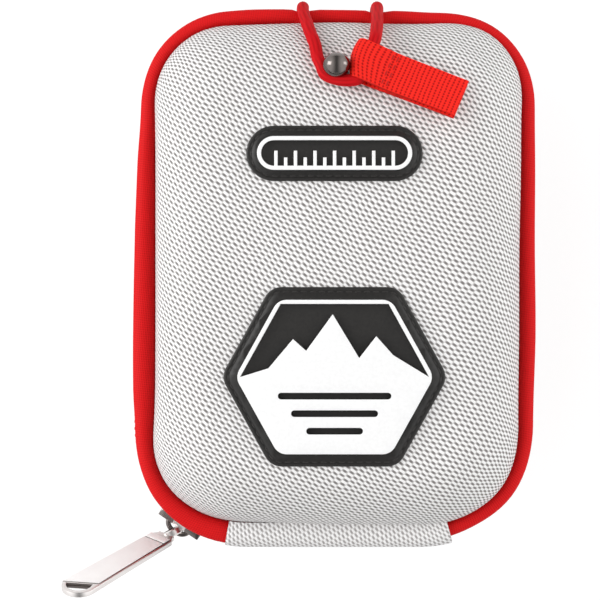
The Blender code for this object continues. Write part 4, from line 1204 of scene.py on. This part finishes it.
PILL = (47.1 * MM, 14.8 * MM, 32.5 * MM)
PILL_INSET = 2.9 * MM
BADGE_WIDTH, BADGE_HEIGHT, BADGE_FLAT, BADGE_Y = 60.6 * MM, 47.9 * MM, 34.0 * MM, -27.1 * MM
BADGE_CORNER, BADGE_INSET = 5.0 * MM, 3.4 * MM
wide, flat, tall = BADGE_WIDTH / 2, BADGE_FLAT / 2, BADGE_HEIGHT / 2
hexagon = [(wide, 0), (flat, tall), (-flat, tall), (-wide, 0), (-flat, -tall), (flat, -tall)]
hexagon = [Vector((x, y)) for x, y in hexagon]


def placed(contour):
    """An outline moved to the badge's place."""
    return [p + Vector((0.0, BADGE_Y)) for p in contour]


rubber_base("pill", stadium(*PILL), "pill_patch")
rubber_base("badge", placed(rounded(hexagon, BADGE_CORNER)), "badge_patch")
groove = GAP + STITCH_LIFT
pill_row = stadium(PILL[0] - 2 * STITCH_INSET, PILL[1] - 2 * STITCH_INSET, PILL[2])
stitches("pill_stitches", pill_row, groove)
badge_row = rounded(inset_polygon(hexagon, STITCH_INSET), BADGE_CORNER - STITCH_INSET)
stitches("badge_stitches", placed(badge_row), groove)

# %% Raised white layers
TICK_PITCH, TICK_WIDTH, TICK_SHORT, TICK_LONG = 2.6 * MM, 0.9 * MM, 2.2 * MM, 4.0 * MM
INLAY_ROUND, SHARP = 0.15 * MM, math.radians(60)
RIDGE = [(-0.70, 0.12), (-0.44, 0.52), (-0.30, 0.36), (-0.02, 0.86), (0.26, 0.26), (0.44, 0.56), (0.62, 0.30)]
WATER, WATER_THICK = [(-0.26, 0.60), (-0.50, 0.46), (-0.74, 0.30)], 1.6 * LINE  # shares of the badge's window


def filled(contours, thick, round_off, both_sides=False):
    """Fills an outline with its windows, gives it thickness and rounds the edges of its upper face."""
    bm = bmesh.new()
    edges = []
    for contour in contours:
        verts = [bm.verts.new((*p, 0.0)) for p in contour]
        edges += [bm.edges.new(pair) for pair in zip(verts, verts[1:] + verts[:1])]
    bmesh.ops.triangle_fill(bm, edges=edges, use_beauty=True, use_dissolve=False, normal=(0, 0, 1))
    made = bmesh.ops.extrude_face_region(bm, geom=bm.faces[:])["geom"]
    bmesh.ops.translate(bm, vec=(0, 0, thick), verts=[v for v in made if isinstance(v, bmesh.types.BMVert)])
    bmesh.ops.recalc_face_normals(bm, faces=bm.faces)
    sharp = [e for e in bm.edges if e.calc_face_angle(0.0) > SHARP]
    rims = [e for e in sharp if abs(e.verts[0].co.z - e.verts[1].co.z) < 0.1 * TINY]
    rims = [e for e in rims if both_sides or e.verts[0].co.z > thick / 2]
    round_edges(bm, rims, round_off)
    return bm


def raised(name, contours, node):
    """A second pour of rubber on a patch."""
    bm = filled(contours, INLAY, INLAY_ROUND)
    lay_on_lid(bm, RUBBER + 2 * GAP)
    finish_piece(f"{name}_white", bm, WHITE_RUBBER, "lid", [node], smooth=35)


width, height = PILL[0] - 2 * PILL_INSET, PILL[1] - 2 * PILL_INSET
inner_height = height - 2 * LINE
foot = PILL[2] - inner_height / 2
count = int((width - height) / TICK_PITCH / 2)
comb = []
for i in range(-count, count + 1):
    tip = foot + (TICK_LONG if i % 2 == 0 else TICK_SHORT)
    left, right = i * TICK_PITCH - TICK_WIDTH / 2, i * TICK_PITCH + TICK_WIDTH / 2
    comb += [Vector(p) for p in ((left, foot), (left, tip), (right, tip), (right, foot))]
window = stadium(width - 2 * LINE, inner_height, PILL[2])
raised("pill", [stadium(width, height, PILL[2]), window + comb], "pill_line")

window = inset_polygon(hexagon, BADGE_INSET + LINE)
reach, roof = window[0].x, window[1].y
sky = window[:4] + [Vector((reach * x, roof * y)) for x, y in RIDGE]
bars = [stadium(2 * reach * length, WATER_THICK, roof * rise, 8) for rise, length in WATER]
border = rounded(inset_polygon(hexagon, BADGE_INSET), BADGE_CORNER - LINE)
raised("badge", [placed(contour) for contour in (border, sky, *bars)], "badge_line")

# %% [markdown]
# ## Slider and pull
# The slider is a nickel-plated casting: two plates on a post, with lips beside the teeth. Its section is
# the same from end to end, but its plates narrow towards the tail, so the section's ring is extruded
# along the slider with a changing width. Its face is bright between the bridge's feet, and painted shade
# in dark nickel darkens it at both ends. The bridge is a wire arch. The pull is a stamped plate with an
# eye at one end and a D-shaped hole at the other, whose walls are painted dark as shade. A satin panel
# stands up on its front, beside a groove that a thin dark film paints as shade.

# %% Slider and bridge
PLATE, LIP, LIP_THICK, POST, INNER_HALF = 1.2 * MM, 1.6 * MM, 0.6 * MM, 0.6 * MM, 2.3 * MM
PLATE_FACE = 1.1 * MM  # the face is raised along its middle
# Beyond this half length, faces of the slider that look up take painted shade.
CROWN_HALF, FACING = 1.95 * MM, 0.6  # polished between the bridge's feet
FACE_EDGE, SLIDER_ROUND, BEND_ROOM = 0.8 * MM, 0.12 * MM, 0.7 * MM
OUTER_FOOT = TOOTH_TOP + GAP
INNER_TOP = TAPE_TOP - TAPE - BEND_ROOM - GAP
BRIDGE_HALF, BRIDGE_RISE, BRIDGE = 3.4 * MM, 2.8 * MM, 0.7 * MM
BRIDGE_BEND, BRIDGE_SINK = 0.95 * BRIDGE_RISE, 0.2 * MM
SLIDER_TAPER = [
    (-1.0, 0.9), (-0.92, 0.97), (-0.8, 1.0), (-0.3, 1.0), (0.3, 1.0), (0.8, 0.96), (0.92, 0.93), (1.0, 0.86),
]  # share of half its length, and of its width there
# The second slot is painted shade, in dark nickel.
PLAIN, PAINTED_SHADE, SATIN = 0, 1, 2  # material slots of the slider and the pull
slider_frame = (
    Matrix.Translation((*corner_centre(-1, False), ZIP_PLANE)) @ Matrix.Rotation(SLIDER_ANGLE, 4, "Z")
)


def slider_section(narrow):
    """Out from the corner's centre and across the zip, round both plates and the post."""
    inside = SLIT + TOOTH_WIDTH + GAP
    outside = (inside + LIP_THICK) * narrow
    half = [
        (INNER_TOP - PLATE, INNER_HALF * narrow), (INNER_TOP, INNER_HALF * narrow), (INNER_TOP, POST),
        (OUTER_FOOT, POST), (OUTER_FOOT, outside - LIP_THICK), (OUTER_FOOT - LIP, outside - LIP_THICK),
        (OUTER_FOOT - LIP, outside), (OUTER_FOOT + PLATE, outside),
        (OUTER_FOOT + PLATE + PLATE_FACE, outside - FACE_EDGE),
    ]
    return half + [(reach, -across) for reach, across in half[::-1]]


rings = []
for share, narrow in SLIDER_TAPER:
    run = share * SLIDER_LENGTH / 2
    section = slider_section(narrow)
    rings.append([slider_frame @ Vector((FOOT_CORNER + reach, run, across)) for reach, across in section])
bm = extruded_rings(rings)
sharp = [e for e in bm.edges if e.calc_face_angle(0.0) > SHARP]
round_edges(bm, sharp, SLIDER_ROUND)
for face in bm.faces:
    run = (slider_frame.inverted() @ face.calc_center_median()).y
    # Painted shade on the up-facing faces at both ends.
    face.material_index = PAINTED_SHADE if abs(face.normal.z) > FACING and abs(run) > CROWN_HALF else PLAIN
slider = finish_piece("slider_casting", bm, NICKEL, "slider", ["zip_slider"])
slider.data.materials.append(DARK_NICKEL_AND_SHADE)

foot = FOOT_CORNER + OUTER_FOOT + PLATE
bar = foot + BRIDGE_RISE
turn_x, turn_y = bar - BRIDGE_BEND, BRIDGE_HALF - BRIDGE_BEND
arch = [Vector((foot - BRIDGE_SINK, -BRIDGE_HALF))]
arch += arc((turn_x, -turn_y), BRIDGE_BEND, 1.5 * math.pi, 2 * math.pi, 8)
arch += arc((turn_x, turn_y), BRIDGE_BEND, 0.0, 0.5 * math.pi, 8)
arch += [Vector((foot - BRIDGE_SINK, BRIDGE_HALF))]
bm = extruded_rings(tube_rings([slider_frame @ p.to_3d() for p in arch], BRIDGE, 16))
finish_piece("bridge_wire", bm, DARK_NICKEL_AND_SHADE, "slider", ["slider_bridge"])

# %% The pull
PULL_LENGTH, PULL_PLATE = 43.0 * MM, 1.6 * MM
PULL_ROOT, PULL_SHOULDER, PULL_WIDTH, PULL_TIP = 5.4 * MM, 2.4 * MM, 7.8 * MM, 9.8 * MM
HOLE_X, HOLE_WIDTH, HOLE_DEPTH, HOLE_STEPS = 38.4 * MM, 6.8 * MM, 3.1 * MM, 24
HOLE_NEAR, WALL_TILT = 0.56 * HOLE_WIDTH, 0.9  # which faces are the hole's walls
EYE, EYE_WIRE, EYE_BORE, EYE_RIM, EYE_WIDTH = 2.5 * MM, 0.7 * MM, 2.4 * MM, 3.3 * MM, 2.0 * MM
BRIDGE_SOLID, EYE_ROUND, PULL_ROUND = 0.55 * MM, 0.3 * MM, 0.35 * MM  # first the wire's radius in the solids
PULL_LIFT, PULL_TURN, PULL_ROLL = math.radians(45), math.radians(-28.6), math.radians(55)
PANEL, PANEL_START, PANEL_END, PANEL_SLANT, GROOVE = 0.25 * MM, 8.6 * MM, 37.4 * MM, 2.5 * MM, 0.4 * MM
PANEL_EDGES = (0.4 * MM, 0.8 * MM)
# The last is the thickness of a dark film that paints shade in the groove beside the panels.
PANEL_ROUND, PANEL_SINK, GROOVE_SHADE_THICK = 0.3, 0.01 * MM, 0.04 * MM
SATIN_NICKEL = moulded("satin_nickel_plate", "#fdfbfa", "#f9f6f5", 0.6, 5.0, metallic=0.3, relief=0.002)
pull_frame = (
    Matrix.Translation(slider_frame @ Vector((bar, 0.0, 0.0)))
    @ Matrix.Rotation(SLIDER_ANGLE + PULL_TURN, 4, "Z")
    @ Matrix.Rotation(-PULL_LIFT, 4, "Y")
)
eye_x = EYE - 1.5 * EYE_WIRE - BRIDGE_SOLID + GAP / 2
root = eye_x + EYE - EYE_WIRE / 2
tip = PULL_TIP / 2


def blade_half(x):
    """Half the blade's width at a place along it, between its shoulder and its tip."""
    start, end = root + PULL_SHOULDER, PULL_LENGTH - tip
    return PULL_WIDTH / 2 + (tip - PULL_WIDTH / 2) * (x - start) / (end - start)


start = root + PULL_SHOULDER
edge = [(root, PULL_ROOT / 2), (root + PULL_SHOULDER / 3, PULL_ROOT / 2), (start, PULL_WIDTH / 2)]
edge = [Vector(p) for p in edge]
cap = arc((PULL_LENGTH - tip, 0.0), tip, -0.5 * math.pi, 0.5 * math.pi, 24)
blade = [Vector((p.x, -p.y)) for p in edge] + cap + edge[::-1]
across = Vector((-2 * PANEL_SLANT, PULL_TIP - sum(PANEL_EDGES))).normalized()
deep = Vector((across.y, -across.x))
hole_start = Vector((HOLE_X, 0.0))
chord, bow = across * HOLE_WIDTH / 2, deep * HOLE_DEPTH
swing = [math.pi * i / HOLE_STEPS for i in range(HOLE_STEPS + 1)]
hole = [hole_start + chord * math.cos(t) + bow * math.sin(t) for t in swing]


def join(bm, other):
    """Adds one mesh under construction to another."""
    mesh = bpy.data.meshes.new("joined")
    other.to_mesh(mesh)
    other.free()
    bm.from_mesh(mesh)
    bpy.data.meshes.remove(mesh)


def panel(start, end, slant, edges, thick, finish):
    """A raised field on the blade's front, with a margin to each of the blade's edges."""
    low, high = edges
    corners = [(start, -1, low), (end + slant, -1, low), (end - slant, 1, high), (start, 1, high)]
    field = [Vector((x, way * (blade_half(x) - margin))) for x, way, margin in corners]
    made = filled([field], thick, PANEL_ROUND * thick)
    bmesh.ops.translate(made, vec=(0, 0, PULL_PLATE / 2 - PANEL_SINK), verts=made.verts)
    for face in made.faces:
        face.material_index = finish
    return made


bm = filled([blade, hole], PULL_PLATE, PULL_ROUND, both_sides=True)
bmesh.ops.translate(bm, vec=(0, 0, -PULL_PLATE / 2), verts=bm.verts)
hole_middle = hole_start + bow / 2
# The hole's walls take painted shade.
for face in bm.faces:
    from_middle = face.calc_center_median().to_2d() - hole_middle
    wall = from_middle.length < HOLE_NEAR and from_middle.dot(face.normal.to_2d()) < 0
    face.material_index = PAINTED_SHADE if wall and abs(face.normal.z) < WALL_TILT else PLAIN
# A thin dark film under the panels is painted shade in the groove beside them.
open_edges = (PANEL_EDGES[0], PANEL_EDGES[1] - GROOVE)
join(bm, panel(start, PANEL_END + GROOVE / 2, PANEL_SLANT, open_edges, GROOVE_SHADE_THICK, PAINTED_SHADE))
join(bm, panel(PANEL_START, PANEL_END, PANEL_SLANT, PANEL_EDGES, PANEL, SATIN))
join(bm, panel(start, PANEL_START - 1.5 * GROOVE, 0.0, PANEL_EDGES, PANEL, SATIN))
bmesh.ops.transform(bm, matrix=Matrix.Rotation(PULL_ROLL, 4, "X"), verts=bm.verts)
eye_ring = ring_profile(EYE_BORE, EYE_RIM, EYE_WIDTH / 2, -EYE_WIDTH / 2, EYE_ROUND)
join(bm, turned(eye_ring, frame_along(Vector((eye_x, 0.0, 0.0)), Vector((0.0, 1.0, 0.0))), True))
bmesh.ops.transform(bm, matrix=pull_frame, verts=bm.verts)
pull = finish_piece("pull_plate", bm, NICKEL, "pull", ["zip_pull"], smooth=35)
pull.data.materials.append(DARK_NICKEL_AND_SHADE)
pull.data.materials.append(SATIN_NICKEL)
